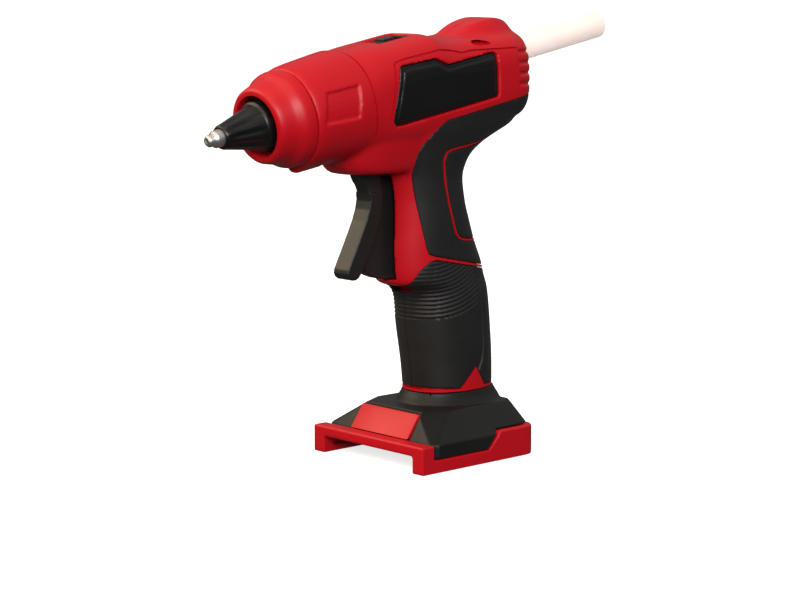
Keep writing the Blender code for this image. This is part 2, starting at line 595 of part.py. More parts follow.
# ---- battery foot ----------------------------------------------------------------------------------------
def rounded_plan(front, rear, half, corner, z, steps=4):
    """Level outline of the foot with its rear corners rounded."""
    points = [(front, -half, z)]
    for sign in (-1, 1):
        for step in range(steps + 1):
            turn = math.radians(90 * step / steps)
            if sign > 0:
                turn = math.radians(90) - turn
            x = rear - corner + corner * math.sin(turn)
            points.append((x, sign * (half - corner + corner * math.cos(turn)), z))
    points.append((front, half, z))
    return points


def build_foot():
    """Red rail frame, its black cover and the plaque on the front slope."""
    base = loft([rounded_plan(FOOT_FRONT, FOOT_REAR, FOOT_HALF, FOOT_CORNER, z) for z in (0.0, 12.4)])
    over = prism(((-24.6, 5.2), (6.6, 5.2), (13.0, 12.1), (13.0, 30.0), (-24.6, 30.0)), -40, 40)
    front_top = block(-60, -20, -40, 40, FRAME_TOP, 40)
    channel = block(-60.0, 27.0, -RAIL_INNER, RAIL_INNER, -5.0, CHANNEL_TOP)
    middle = block(-24.6, 27.0, -RAIL_INNER, RAIL_INNER, 5.0, 40.0)
    grooves = [block(-26.0, 27.0, side * 26.0 - 3.4, side * 26.0 + 3.4, 2.6, 4.4) for side in (-1, 1)]
    holes = [round_bar((x, y, -2.0), (x, y, 3.2), 2.7, 16) for x, y in FOOT_SCREWS]
    holes += [round_bar((x, y, 2.8), (x, y, FOOT_SCREW_TOP + GAP), 1.5, 12) for x, y in FOOT_SCREWS]
    base = cut(base, over, front_top, channel, middle, *grooves, *holes)
    base = cut(base, block(-24.0, 27.5, -30.0, 30.0, 7.6, 40.0))
    finish("foot_base", base, "red_shell")

    lower, shoulder = COVER_LEVELS
    cover = loft([[(x, y, lower) for x, y in COVER_LOW], [(x, y, shoulder) for x, y in COVER_LOW],
                  [(x, y, PLATEAU_Z) for x, y in COVER_TOP]])
    collar = loft([[(COLLAR_X + x, y, z) for x, y in superellipse(24, semi, half, 2.2)]
                   for z, semi, half in HANDLE_COLLAR])
    red_zone = prism(((6.1, -2.0), (6.1, 5.3), (12.7, 12.7), (60.0, 12.7), (60.0, -2.0)), -40, 40)
    cover = cut(joined(cover, collar), red_zone, channel_cut(),
                block(-4.0, 26.0, -9.0, 9.0, 5.0, 40.0),
                *[round_bar((x, y, -2.0), (x, y, FOOT_SCREW_TOP + GAP), 1.5, 12) for x, y in FOOT_SCREWS])
    plaque = prism(((-24.4, 11.8), (-23.0, 11.8), (-16.6, 20.4), (-18.3, 20.9)), -17.0, 17.0)
    pocket = prism(((-26.0, 11.4), (-22.6, 11.4), (-16.2, 20.1), (-17.0, 30.0), (-26.0, 30.0)), -17.3, 17.3)
    finish("foot_cover", cut(cover, pocket), "black_plastic")
    finish("front_plaque", plaque, "red_shell")


def channel_cut():
    """Battery channel with its clearance below the cover."""
    return block(-60.0, 27.0, -RAIL_INNER - GAP, RAIL_INNER + GAP, -5.0, CHANNEL_TOP + GAP)


def main():
    """Build every piece of the gun."""
    clear_scene()
    build_shell()
    build_screws()
    build_nozzle()
    build_feed()
    build_trigger()
    build_trigger_spring()
    build_electrics()
    build_foot()


main()
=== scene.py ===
"""Looks of a cordless pistol-grip glue gun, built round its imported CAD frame.

Shapes are modelled in millimetres on the gun's own axes: x to the rear, y across, z up from the foot's rails.
They go into the frame, in metres, when a piece is finished. The barrel has axes of its own: a runs back from
the nozzle's orifice and h is square to it.
"""

import logging
import math
from dataclasses import dataclass, field
from enum import Enum
from typing import Callable, Sequence

import bmesh
import bpy
from mathutils import Matrix, Vector


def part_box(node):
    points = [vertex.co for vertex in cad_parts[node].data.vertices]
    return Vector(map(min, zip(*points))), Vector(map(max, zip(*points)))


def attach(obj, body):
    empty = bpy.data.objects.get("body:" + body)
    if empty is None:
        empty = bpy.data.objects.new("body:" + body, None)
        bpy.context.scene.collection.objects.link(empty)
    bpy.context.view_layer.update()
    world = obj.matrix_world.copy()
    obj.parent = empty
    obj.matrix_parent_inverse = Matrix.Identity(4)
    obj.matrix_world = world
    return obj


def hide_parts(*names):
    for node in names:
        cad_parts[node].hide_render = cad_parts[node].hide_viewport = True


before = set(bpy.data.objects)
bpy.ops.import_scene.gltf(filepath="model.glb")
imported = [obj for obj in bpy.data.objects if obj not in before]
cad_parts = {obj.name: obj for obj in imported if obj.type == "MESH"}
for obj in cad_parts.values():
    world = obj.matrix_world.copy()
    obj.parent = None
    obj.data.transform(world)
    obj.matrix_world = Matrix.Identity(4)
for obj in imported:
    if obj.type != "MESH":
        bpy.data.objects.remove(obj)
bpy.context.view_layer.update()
LOG = logging.getLogger("glue_gun")

MM = 0.001
SHARP_ANGLE = math.radians(38)
Outline = Sequence[tuple[float, float]]
Span = tuple[float, float]
Room = tuple[Span, Span, Span]


class Body(Enum):
    """The frame's bodies that pieces ride on."""

    GUN = "gun"
    TRIGGER = "trigger"
    STICK = "stick"
    SWITCH = "switch"


class Operation(Enum):
    """What a Boolean does with its second shape."""

    JOIN = "UNION"
    CUT = "DIFFERENCE"
    MEET = "INTERSECT"


class Side(Enum):
    """The two halves of the gun, and the way each lies from the middle."""

    LEFT = -1
    RIGHT = 1


# ---- the gun's axes ----------------------------------------------------------------------------------
@dataclass(frozen=True)
class BarrelAxis:
    """Line of the barrel, which leans nose-down."""

    tip_x: float = -112.2
    tip_z: float = 136.4
    tilt_deg: float = 10.3

    @property
    def tilt(self) -> float:
        """Angle of the barrel below level, in radians."""
        return math.radians(self.tilt_deg)

    def point(self, a: float, y: float, h: float) -> Vector:
        """Give the point at a along the axis, y across it and h above it."""
        cos_t, sin_t = math.cos(self.tilt), math.sin(self.tilt)
        return Vector((self.tip_x + a * cos_t - h * sin_t, y, self.tip_z + a * sin_t + h * cos_t))

    def matrix(self) -> Matrix:
        """Give the transform from (a, y, h) to (x, y, z)."""
        return Matrix.Translation(self.point(0, 0, 0)) @ Matrix.Rotation(-self.tilt, 4, "Y")


AXIS = BarrelAxis()
TRIGGER_PIVOT = Vector((-31.0, 0.0, 128.5))


def into_frame() -> Matrix:
    """Give the transform from the gun's millimetres to the frame's metres, fixed on the trigger's pin."""
    low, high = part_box("trigger_pin")
    shift = (low.x + high.x) / 2 - TRIGGER_PIVOT.x * MM
    return Matrix.Translation((shift, 0.0, 0.0)) @ Matrix.Scale(MM, 4)


INTO_FRAME = into_frame()


# ---- mesh tools --------------------------------------------------------------------------------------
def scratch_object(bm: bmesh.types.BMesh) -> bpy.types.Object:
    """Put a mesh on a scratch object and free it.

    Args:
        bm: the mesh, which is used up.

    Returns:
        The scratch object, linked to the scene.
    """
    obj = bpy.data.objects.new("scratch", bpy.data.meshes.new("scratch"))
    bm.to_mesh(obj.data)
    bm.free()
    bpy.context.scene.collection.objects.link(obj)
    return obj


def evaluated(obj: bpy.types.Object, *others: bpy.types.Object) -> bmesh.types.BMesh:
    """Read an object's mesh with its modifiers, and remove the scratch objects.

    Args:
        obj: the object that has the modifiers.
        others: scratch objects that the modifiers use.

    Returns:
        The finished mesh.
    """
    graph = bpy.context.evaluated_depsgraph_get()
    graph.update()
    result = bmesh.new()
    result.from_mesh(obj.evaluated_get(graph).to_mesh())
    for used in (obj, *others):
        mesh = used.data
        bpy.data.objects.remove(used, do_unlink=True)
        bpy.data.meshes.remove(mesh)
    return result


def combine(base: bmesh.types.BMesh, tool: bmesh.types.BMesh, operation: Operation) -> bmesh.types.BMesh:
    """Join, cut or meet two closed meshes, which are used up.

    Args:
        base: the mesh that is changed.
        tool: the mesh that changes it.
        operation: what to do.

    Returns:
        The new mesh.
    """
    first, second = scratch_object(base), scratch_object(tool)
    modifier = first.modifiers.new("Boolean", "BOOLEAN")
    modifier.operation = operation.value
    modifier.solver = "MANIFOLD"
    modifier.object = second
    return evaluated(first, second)


def joined(*shapes: bmesh.types.BMesh) -> bmesh.types.BMesh:
    """Join closed meshes into one."""
    whole = shapes[0]
    for shape in shapes[1:]:
        whole = combine(whole, shape, Operation.JOIN)
    return whole


def cut(base: bmesh.types.BMesh, *tools: bmesh.types.BMesh) -> bmesh.types.BMesh:
    """Cut tools out of a closed mesh."""
    for tool in tools:
        base = combine(base, tool, Operation.CUT)
    return base


def meet(base: bmesh.types.BMesh, tool: bmesh.types.BMesh) -> bmesh.types.BMesh:
    """Keep what lies in both meshes."""
    return combine(base, tool, Operation.MEET)


def smoothed(bm: bmesh.types.BMesh, rounds: int) -> bmesh.types.BMesh:
    """Relax a mesh's points towards their neighbours a number of times."""
    for _ in range(rounds):
        bmesh.ops.smooth_vert(bm, verts=bm.verts, factor=0.5, use_axis_x=True, use_axis_y=True,
                              use_axis_z=True)
    return bm


def moulded(bm: bmesh.types.BMesh, voxel: float, rounds: int) -> bmesh.types.BMesh:
    """Give a sharp-edged shape the even surface and soft edges of a moulding.

    Args:
        bm: closed mesh in millimetres, which is used up.
        voxel: spacing of the new surface, in millimetres.
        rounds: how often it is relaxed; the edge radius grows with it.

    Returns:
        The moulded mesh.
    """
    obj = scratch_object(bm)
    modifier = obj.modifiers.new("Remesh", "REMESH")
    modifier.mode = "VOXEL"
    modifier.voxel_size = voxel
    return smoothed(evaluated(obj), rounds)


def superellipse(share: float, semi_u: float, semi_v: float, power: float) -> tuple[float, float]:
    """Give the point at a share of the way round a superellipse; power 2 is an ellipse, more is squarer."""
    angle = 2 * math.pi * share
    cos_a, sin_a = math.cos(angle), math.sin(angle)
    u = math.copysign(abs(cos_a) ** (2 / power), cos_a) * semi_u
    v = math.copysign(abs(sin_a) ** (2 / power), sin_a) * semi_v
    return u, v


def tube(around: int, along: int, place: Callable[[float, float], Vector]) -> bmesh.types.BMesh:
    """Wrap a grid into a closed tube with capped ends.

    Args:
        around: faces round the tube.
        along: faces along it.
        place: gives the point at a share round and a share along.

    Returns:
        The closed tube.
    """
    bm = bmesh.new()
    bmesh.ops.create_grid(bm, x_segments=around, y_segments=along, size=1.0)
    for vert in bm.verts:
        vert.co = place((vert.co.x + 1) / 2, (vert.co.y + 1) / 2)
    bmesh.ops.remove_doubles(bm, verts=bm.verts, dist=1e-4)
    bmesh.ops.holes_fill(bm, edges=bm.edges, sides=0)
    bmesh.ops.recalc_face_normals(bm, faces=bm.faces)
    return bm


def rounded(bm: bmesh.types.BMesh, edges: list[bmesh.types.BMEdge], radius: float, steps: int = 3) -> None:
    """Round some edges of a mesh by a radius, in a number of steps."""
    bmesh.ops.bevel(bm, geom=edges, offset=radius, segments=steps, profile=0.5, affect="EDGES", material=-1)


def end_rims(bm: bmesh.types.BMesh) -> list[bmesh.types.BMEdge]:
    """Give the edges round the flat ends of a bar."""
    return [e for e in bm.edges if any(len(f.verts) > 4 for f in e.link_faces)]


def prism(outline: Outline, low: float, high: float, barrel: bool = False,
          edge: float = 0.0) -> bmesh.types.BMesh:
    """Extrude an outline in x and z across the gun.

    Args:
        outline: corners, in x and z, or in a and h on the barrel.
        low: y of the first face.
        high: y of the last face.
        barrel: whether the outline is on the barrel's axes.
        edge: radius that every edge is rounded by.

    Returns:
        The closed prism.
    """
    bm = bmesh.new()
    corners = [bm.verts.new((u, low, v)) for u, v in outline]
    sides = [bm.edges.new(pair) for pair in zip(corners, corners[1:] + corners[:1])]
    bmesh.ops.contextual_create(bm, geom=sides)
    made = bmesh.ops.extrude_face_region(bm, geom=bm.faces[:])
    moved = [item for item in made["geom"] if isinstance(item, bmesh.types.BMVert)]
    bmesh.ops.translate(bm, vec=(0.0, high - low, 0.0), verts=moved)
    bmesh.ops.contextual_create(bm, geom=[e for e in bm.edges if e.is_boundary])
    if barrel:
        bmesh.ops.transform(bm, matrix=AXIS.matrix(), verts=bm.verts)
    bmesh.ops.recalc_face_normals(bm, faces=bm.faces)
    if edge:
        rounded(bm, bm.edges[:], edge)
    return bm


def block(x: tuple[float, float], y: tuple[float, float], z: tuple[float, float], barrel: bool = False,
          edge: float = 0.0) -> bmesh.types.BMesh:
    """Make a box from its ranges; on the barrel they are in a, y and h."""
    corners = ((x[0], z[0]), (x[1], z[0]), (x[1], z[1]), (x[0], z[1]))
    return prism(corners, y[0], y[1], barrel, edge)


def rod(start: Vector, end: Vector, radius: float, segments: int = 32, end_radius: float | None = None,
        edge: float = 0.0) -> bmesh.types.BMesh:
    """Make a round bar or cone between two points.

    Args:
        start: middle of its first end.
        end: middle of its last end.
        radius: radius at the start.
        segments: faces round it.
        end_radius: radius at the end, if it differs.
        edge: radius that its end edges are rounded by.

    Returns:
        The closed bar.
    """
    start, end = Vector(start), Vector(end)
    turn = (end - start).to_track_quat("Z", "Y").to_matrix().to_4x4()
    bm = bmesh.new()
    bmesh.ops.create_cone(bm, cap_ends=True, segments=segments, radius1=radius,
                          radius2=radius if end_radius is None else end_radius, depth=(end - start).length,
                          matrix=Matrix.Translation((start + end) / 2) @ turn)
    if edge:
        rounded(bm, end_rims(bm), edge)
    return bm


def turned(profile: Outline, steps: int = 96) -> bmesh.types.BMesh:
    """Turn a closed profile of (a, radius) about the barrel's axis.

    Args:
        profile: corners of the ring's section.
        steps: faces round the ring.

    Returns:
        The closed ring.
    """
    bm = bmesh.new()
    section = [bm.verts.new((a, 0.0, radius)) for a, radius in profile]
    edges = [bm.edges.new(pair) for pair in zip(section, section[1:] + section[:1])]
    bmesh.ops.spin(bm, geom=edges, cent=(0, 0, 0), axis=(1, 0, 0), angle=2 * math.pi, steps=steps,
                   use_merge=True, use_duplicate=False)
    bmesh.ops.remove_doubles(bm, verts=bm.verts, dist=1e-4)
    bmesh.ops.transform(bm, matrix=AXIS.matrix(), verts=bm.verts)
    bmesh.ops.recalc_face_normals(bm, faces=bm.faces)
    return bm


def offset_outline(outline: Outline, distance: float) -> list[tuple[float, float]]:
    """Move an outline's sides outward by a distance, or inward if it is negative."""
    count = len(outline)
    area = sum(outline[i - 1][0] * outline[i][1] - outline[i][0] * outline[i - 1][1] for i in range(count))
    turn = math.copysign(1.0, area)
    moved = []
    for i, corner in enumerate(outline):
        normals = []
        for start, end in ((outline[i - 1], corner), (corner, outline[(i + 1) % count])):
            side = (Vector(end) - Vector(start)).normalized()
            normals.append(Vector((side.y, -side.x)) * turn)
        reach = (normals[0] + normals[1]) / max(1 + normals[0].dot(normals[1]), 0.3) * distance
        moved.append((corner[0] + reach.x, corner[1] + reach.y))
    return moved


def across(outline: Outline, grow: float = 0.0, barrel: bool = False) -> bmesh.types.BMesh:
    """Make a prism right across the gun from an outline, its sides moved outward by grow."""
    return prism(offset_outline(outline, grow), -45.0, 45.0, barrel)


def half_space(side: Side, gap: float) -> bmesh.types.BMesh:
    """Make a block that holds everything on one side of the gun's middle, less half a gap."""
    y = (-60.0, -gap / 2) if side is Side.LEFT else (gap / 2, 60.0)
    return block((-200, 200), y, (-50, 300))


def finish_piece(name: str, bm: bmesh.types.BMesh, finish: "Finish", body: Body,
                 replaces: Sequence[str] = ()) -> None:
    """Put a finished mesh into the frame as a piece of the gun.

    Args:
        name: the piece's name.
        bm: closed mesh in millimetres, which is used up.
        finish: its material.
        body: what it rides on.
        replaces: CAD nodes that it stands for.
    """
    bmesh.ops.transform(bm, matrix=INTO_FRAME, verts=bm.verts)
    mesh = bpy.data.meshes.new(name)
    bm.to_mesh(mesh)
    bm.free()
    mesh.materials.clear()
    mesh.materials.append(finish.material())
    mesh.shade_smooth()
    mesh.set_sharp_from_angle(angle=SHARP_ANGLE)
    obj = bpy.data.objects.new(name, mesh)
    bpy.context.scene.collection.objects.link(obj)
    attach(obj, body.value)
    if replaces:
        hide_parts(*replaces)
    LOG.info("%s: %d faces, rides on %s", name, len(mesh.polygons), body.value)


# ---- materials ---------------------------------------------------------------------------------------
def linear(code: str) -> tuple[float, float, float, float]:
    """Turn an sRGB hex colour into linear light, with full alpha."""
    shares = [int(code[i:i + 2], 16) / 255 for i in (1, 3, 5)]
    light = [s / 12.92 if s <= 0.04045 else ((s + 0.055) / 1.055) ** 2.4 for s in shares]
    return light[0], light[1], light[2], 1.0


def add_node(tree: bpy.types.NodeTree, kind: str, inputs: dict | None = None, **settings) -> bpy.types.Node:
    """Add a node with its settings, constants and links.

    Args:
        tree: the material's node tree.
        kind: the node's type.
        inputs: value or linked output socket for each input, by name or place.
        settings: the node's own properties.

    Returns:
        The node.
    """
    node = tree.nodes.new(kind)
    for key, value in settings.items():
        setattr(node, key, value)
    for key, value in (inputs or {}).items():
        if isinstance(value, bpy.types.NodeSocket):
            tree.links.new(value, node.inputs[key])
        else:
            node.inputs[key].default_value = value
    return node


def per_metre(size_mm: float) -> float:
    """Give the texture scale that makes one feature size_mm across."""
    return 1000.0 / size_mm


@dataclass(frozen=True)
class Finish:
    """A material of the gun, by what it is made of and how its surface was made."""

    name: str
    colour: str
    roughness: float

    def material(self) -> bpy.types.Material:
        """Give the Blender material, made once."""
        found = bpy.data.materials.get(self.name)
        if found is None:
            found = bpy.data.materials.new(self.name)
            found.use_nodes = True
            tree = found.node_tree
            where = add_node(tree, "ShaderNodeTexCoord").outputs["Object"]
            self.dress(tree, tree.nodes["Principled BSDF"], where)
        return found

    def dress(self, tree: bpy.types.NodeTree, shader: bpy.types.Node, where: bpy.types.NodeSocket) -> None:
        """Set the shader and add the surface's patterns.

        Args:
            tree: the material's node tree.
            shader: its Principled BSDF.
            where: object coordinates, in metres.
        """
        raise NotImplementedError

    def vary(self, tree: bpy.types.NodeTree, shader: bpy.types.Node, where: bpy.types.NodeSocket, other: str,
             size_mm: float, spread: float) -> bpy.types.NodeSocket:
        """Mix the colour with another in soft patches and vary the roughness with them.

        Args:
            tree: the material's node tree.
            shader: its Principled BSDF.
            where: object coordinates, in metres.
            other: the second colour.
            size_mm: size of a patch.
            spread: how far the roughness moves either way.

        Returns:
            The patches' strength, from 0 to 1.
        """
        patches = add_node(tree, "ShaderNodeTexNoise",
                           {"Vector": where, "Scale": per_metre(size_mm), "Detail": 4.0, "Roughness": 0.6})
        share = add_node(tree, "ShaderNodeMapRange",
                         {"Value": patches.outputs[0], "From Min": 0.32, "From Max": 0.68}).outputs[0]
        mixed = add_node(tree, "ShaderNodeMix", {0: share, 6: linear(self.colour), 7: linear(other)},
                         data_type="RGBA")
        rough = add_node(tree, "ShaderNodeMapRange",
                         {"Value": share, "To Min": self.roughness - spread,
                          "To Max": self.roughness + spread})
        tree.links.new(mixed.outputs[2], shader.inputs["Base Color"])
        tree.links.new(rough.outputs[0], shader.inputs["Roughness"])
        return share

    def emboss(self, tree: bpy.types.NodeTree, shader: bpy.types.Node, height: bpy.types.NodeSocket,
               depth_mm: float) -> None:
        """Bump the surface by a height pattern of a real depth."""
        bump = add_node(tree, "ShaderNodeBump",
                        {"Height": height, "Distance": depth_mm * MM, "Strength": 1.0})
        tree.links.new(bump.outputs[0], shader.inputs["Normal"])


@dataclass(frozen=True)
class MouldedPlastic(Finish):
    """Injection-moulded ABS or polyamide with a fine spark-eroded texture.

    The eye sees an even satin skin, a faint drift in colour and small dull scuffs from handling.
    """

    worn: str = "#FFFFFF"
    grain_mm: float = 0.45
    grain_depth_mm: float = 0.012
    shine: float = 0.5

    def dress(self, tree: bpy.types.NodeTree, shader: bpy.types.Node, where: bpy.types.NodeSocket) -> None:
        """Set a satin plastic with its eroded grain and scuffs."""
        shader.inputs["IOR"].default_value = 1.53           # ABS and PA are both close to this
        shader.inputs["Specular IOR Level"].default_value = self.shine
        self.vary(tree, shader, where, self.worn, size_mm=38.0, spread=0.045)
        # Eroded texture is really about 0.1 mm; it is drawn coarser so that it shows at arm's length.
        grain = add_node(tree, "ShaderNodeTexNoise",
                         {"Vector": where, "Scale": per_metre(self.grain_mm), "Detail": 2.0,
                          "Roughness": 0.55})
        scratches = add_node(tree, "ShaderNodeTexNoise",
                             {"Vector": add_node(tree, "ShaderNodeMapping", {"Vector": where,
                                                 "Scale": (1.0, 1.0, 6.0)}).outputs[0],
                              "Scale": per_metre(9.0), "Detail": 6.0, "Roughness": 0.75})
        scuffs = add_node(tree, "ShaderNodeMapRange", {"Value": scratches.outputs[0], "From Min": 0.62,
                                                       "From Max": 0.72, "To Max": 0.25})
        height = add_node(tree, "ShaderNodeMath", {0: grain.outputs[0], 1: scuffs.outputs[0]},
                          operation="SUBTRACT")
        self.emboss(tree, shader, height.outputs[0], self.grain_depth_mm)


@dataclass(frozen=True)
class SoftTouch(Finish):
    """Thermoplastic elastomer moulded over a hard shell.

    The eye sees a dull, slightly dusty black that lightens at grazing angles and where it is rubbed.
    """

    rubbed: str = "#3A3838"
    grain_mm: float = 0.7

    def dress(self, tree: bpy.types.NodeTree, shader: bpy.types.Node, where: bpy.types.NodeSocket) -> None:
        """Set a matt elastomer with its pebbled grain."""
        shader.inputs["IOR"].default_value = 1.49
        shader.inputs["Sheen Weight"].default_value = 0.03
        shader.inputs["Sheen Roughness"].default_value = 0.45
        self.vary(tree, shader, where, self.rubbed, size_mm=22.0, spread=0.06)
        pebbles = add_node(tree, "ShaderNodeTexVoronoi", {"Vector": where, "Scale": per_metre(self.grain_mm)},
                           feature="SMOOTH_F1")
        dust = add_node(tree, "ShaderNodeTexNoise",
                        {"Vector": where, "Scale": per_metre(0.25), "Detail": 2.0})
        height = add_node(tree, "ShaderNodeMath", {0: pebbles.outputs["Distance"], 1: dust.outputs[0]},
                          operation="ADD")
        self.emboss(tree, shader, height.outputs[0], 0.02)


@dataclass(frozen=True)
class WorkedMetal(Finish):
    """Metal that was turned, rolled or stamped, with the marks of it along one direction.

    The eye sees fine lines that stretch its highlights, and a little dulling by handling.
    """

    tarnish: str = "#808080"
    line_mm: float = 0.25
    stretch: tuple[float, float, float] = (1.0, 0.04, 0.04)

    def dress(self, tree: bpy.types.NodeTree, shader: bpy.types.Node, where: bpy.types.NodeSocket) -> None:
        """Set a metal with its tool lines."""
        shader.inputs["Metallic"].default_value = 1.0
        self.vary(tree, shader, where, self.tarnish, size_mm=6.0, spread=0.07)
        # On the barrel's axes the lines run round the axis, as a lathe leaves them.
        level = add_node(tree, "ShaderNodeMapping",
                         {"Vector": where, "Rotation": (0.0, AXIS.tilt, 0.0)}, vector_type="TEXTURE")
        drawn = add_node(tree, "ShaderNodeMapping", {"Vector": level.outputs[0], "Scale": self.stretch})
        lines = add_node(tree, "ShaderNodeTexNoise",
                         {"Vector": drawn.outputs[0], "Scale": per_metre(self.line_mm), "Detail": 3.0})
        self.emboss(tree, shader, lines.outputs[0], 0.006)


@dataclass(frozen=True)
class MeltGlue(Finish):
    """Cast EVA hot-melt glue.

    The eye sees a milky, waxy bar that lets light in, with faint flow streaks along it.
    """

    streak: str = "#F3DFD6"

    def dress(self, tree: bpy.types.NodeTree, shader: bpy.types.Node, where: bpy.types.NodeSocket) -> None:
        """Set a translucent wax with streaks along the bar."""
        shader.inputs["IOR"].default_value = 1.48
        shader.inputs["Subsurface Weight"].default_value = 0.55
        shader.inputs["Subsurface Radius"].default_value = (0.004, 0.003, 0.0025)
        shader.inputs["Subsurface Scale"].default_value = 1.0
        shader.inputs["Transmission Weight"].default_value = 0.15
        # Painted glow: a weak emission in the wax's own colour makes the stick shine a little by itself,
        # standing in for light that no lamp puts on it.
        shader.inputs["Emission Color"].default_value = linear(self.colour)
        shader.inputs["Emission Strength"].default_value = 0.32
        self.vary(tree, shader, where, self.streak, size_mm=7.0, spread=0.05)
        level = add_node(tree, "ShaderNodeMapping",
                         {"Vector": where, "Rotation": (0.0, AXIS.tilt, 0.0)}, vector_type="TEXTURE")
        drawn = add_node(tree, "ShaderNodeMapping", {"Vector": level.outputs[0], "Scale": (0.05, 1.0, 1.0)})
        flow = add_node(tree, "ShaderNodeTexNoise",
                        {"Vector": drawn.outputs[0], "Scale": per_metre(1.4), "Detail": 3.0})
        self.emboss(tree, shader, flow.outputs[0], 0.05)


@dataclass(frozen=True)
class Insulator(Finish):
    """Pressed mica, fired ceramic or a printed board: dull, with flakes or a weave in it."""

    fleck: str = "#FFFFFF"
    fleck_mm: float = 1.2

    def dress(self, tree: bpy.types.NodeTree, shader: bpy.types.Node, where: bpy.types.NodeSocket) -> None:
        """Set a dull board with flecks."""
        self.vary(tree, shader, where, self.fleck, size_mm=self.fleck_mm, spread=0.05)
        flakes = add_node(tree, "ShaderNodeTexVoronoi", {"Vector": where, "Scale": per_metre(self.fleck_mm)})
        self.emboss(tree, shader, flakes.outputs["Distance"], 0.03)


SHELL_RED = MouldedPlastic("abs_red_satin", "#CE071A", 0.40, worn="#C60619", shine=0.36)
FOOT_BLACK = MouldedPlastic("pa_black_eroded", "#161616", 0.44, worn="#1B1B1B", shine=0.28,
                            grain_depth_mm=0.02)
LABEL_BLACK = MouldedPlastic("pc_black_satin", "#0B0B0C", 0.34, worn="#0F0F10", shine=0.4, grain_mm=0.35)
TRIGGER_BLACK = MouldedPlastic("pa_black_polished", "#191817", 0.42, worn="#201F1E", grain_mm=0.6)
GRIP_BLACK = SoftTouch("tpe_black_matt", "#161515", 0.56, rubbed="#1C1B1B")
SLEEVE_BLACK = SoftTouch("silicone_black", "#070707", 0.34, rubbed="#0B0B0C", grain_mm=0.5)
NYLON_WHITE = MouldedPlastic("pa_natural_moulded", "#D9D6CC", 0.5, worn="#CFCBBF")
NOZZLE_METAL = WorkedMetal("nickel_plated_turned", "#E6E6E7", 0.40, tarnish="#B9B7B4", line_mm=0.2)
CHAMBER_METAL = WorkedMetal("aluminium_die_cast", "#C9CACC", 0.42, tarnish="#A9A9AA", stretch=(1.0, 1.0, 1.0))
STEEL = WorkedMetal("steel_stamped", "#B4B4B6", 0.32, tarnish="#9A9A9C", stretch=(0.1, 1.0, 1.0))
SCREW_METAL = WorkedMetal("steel_black_zinc", "#77787B", 0.34, tarnish="#5F6063", stretch=(1.0, 1.0, 0.2))
BRASS = WorkedMetal("brass_rolled", "#D2A85A", 0.28, tarnish="#B58A45", stretch=(0.1, 1.0, 1.0))
GLUE = MeltGlue("eva_glue_cast", "#FDF3EE", 0.42)
MICA = Insulator("mica_pressed", "#A88458", 0.65, fleck="#C7A878", fleck_mm=1.5)
CERAMIC = Insulator("ptc_ceramic_fired", "#D9D4C6", 0.6, fleck="#C9C2B0", fleck_mm=0.8)
BOARD = Insulator("board_fr4", "#0E5A32", 0.45, fleck="#14703F", fleck_mm=0.6)


# ---- the gun's outer form ----------------------------------------------------------------------------
@dataclass(frozen=True)
class Rings:
    """Cross-sections along a form, joined by smooth curves that don't overshoot."""

    rows: tuple[tuple[float, ...], ...]

    def slope(self, i: int, column: int) -> float:
        """Give the curve's slope at a row."""
        if i in (0, len(self.rows) - 1):
            return 0.0
        before, here, after = self.rows[i - 1], self.rows[i], self.rows[i + 1]
        rise_in = (here[column] - before[column]) / (here[0] - before[0])
        rise_out = (after[column] - here[column]) / (after[0] - here[0])
        if rise_in * rise_out <= 0:
            return 0.0
        return 2 * rise_in * rise_out / (rise_in + rise_out)

    def at(self, share: float) -> list[float]:
        """Give the cross-section at a share of the way through the rows."""
        step = share * (len(self.rows) - 1)
        i = min(int(step), len(self.rows) - 2)
        t = step - i
        low, high = self.rows[i], self.rows[i + 1]
        width = high[0] - low[0]
        found = [low[0] + t * width]
        for column in range(1, len(low)):
            found.append(
                (1 + 2 * t) * (1 - t) ** 2 * low[column] + t * (1 - t) ** 2 * width * self.slope(i, column)
                + t * t * (3 - 2 * t) * high[column] + t * t * (t - 1) * width * self.slope(i + 1, column))
        return found

    def near(self, place: float) -> list[float]:
        """Give the cross-section at a place along the form."""
        place = min(max(place, self.rows[0][0]), self.rows[-1][0])
        i = max(k for k in range(len(self.rows) - 1) if self.rows[k][0] <= place)
        t = (place - self.rows[i][0]) / (self.rows[i + 1][0] - self.rows[i][0])
        return self.at((i + t) / (len(self.rows) - 1))


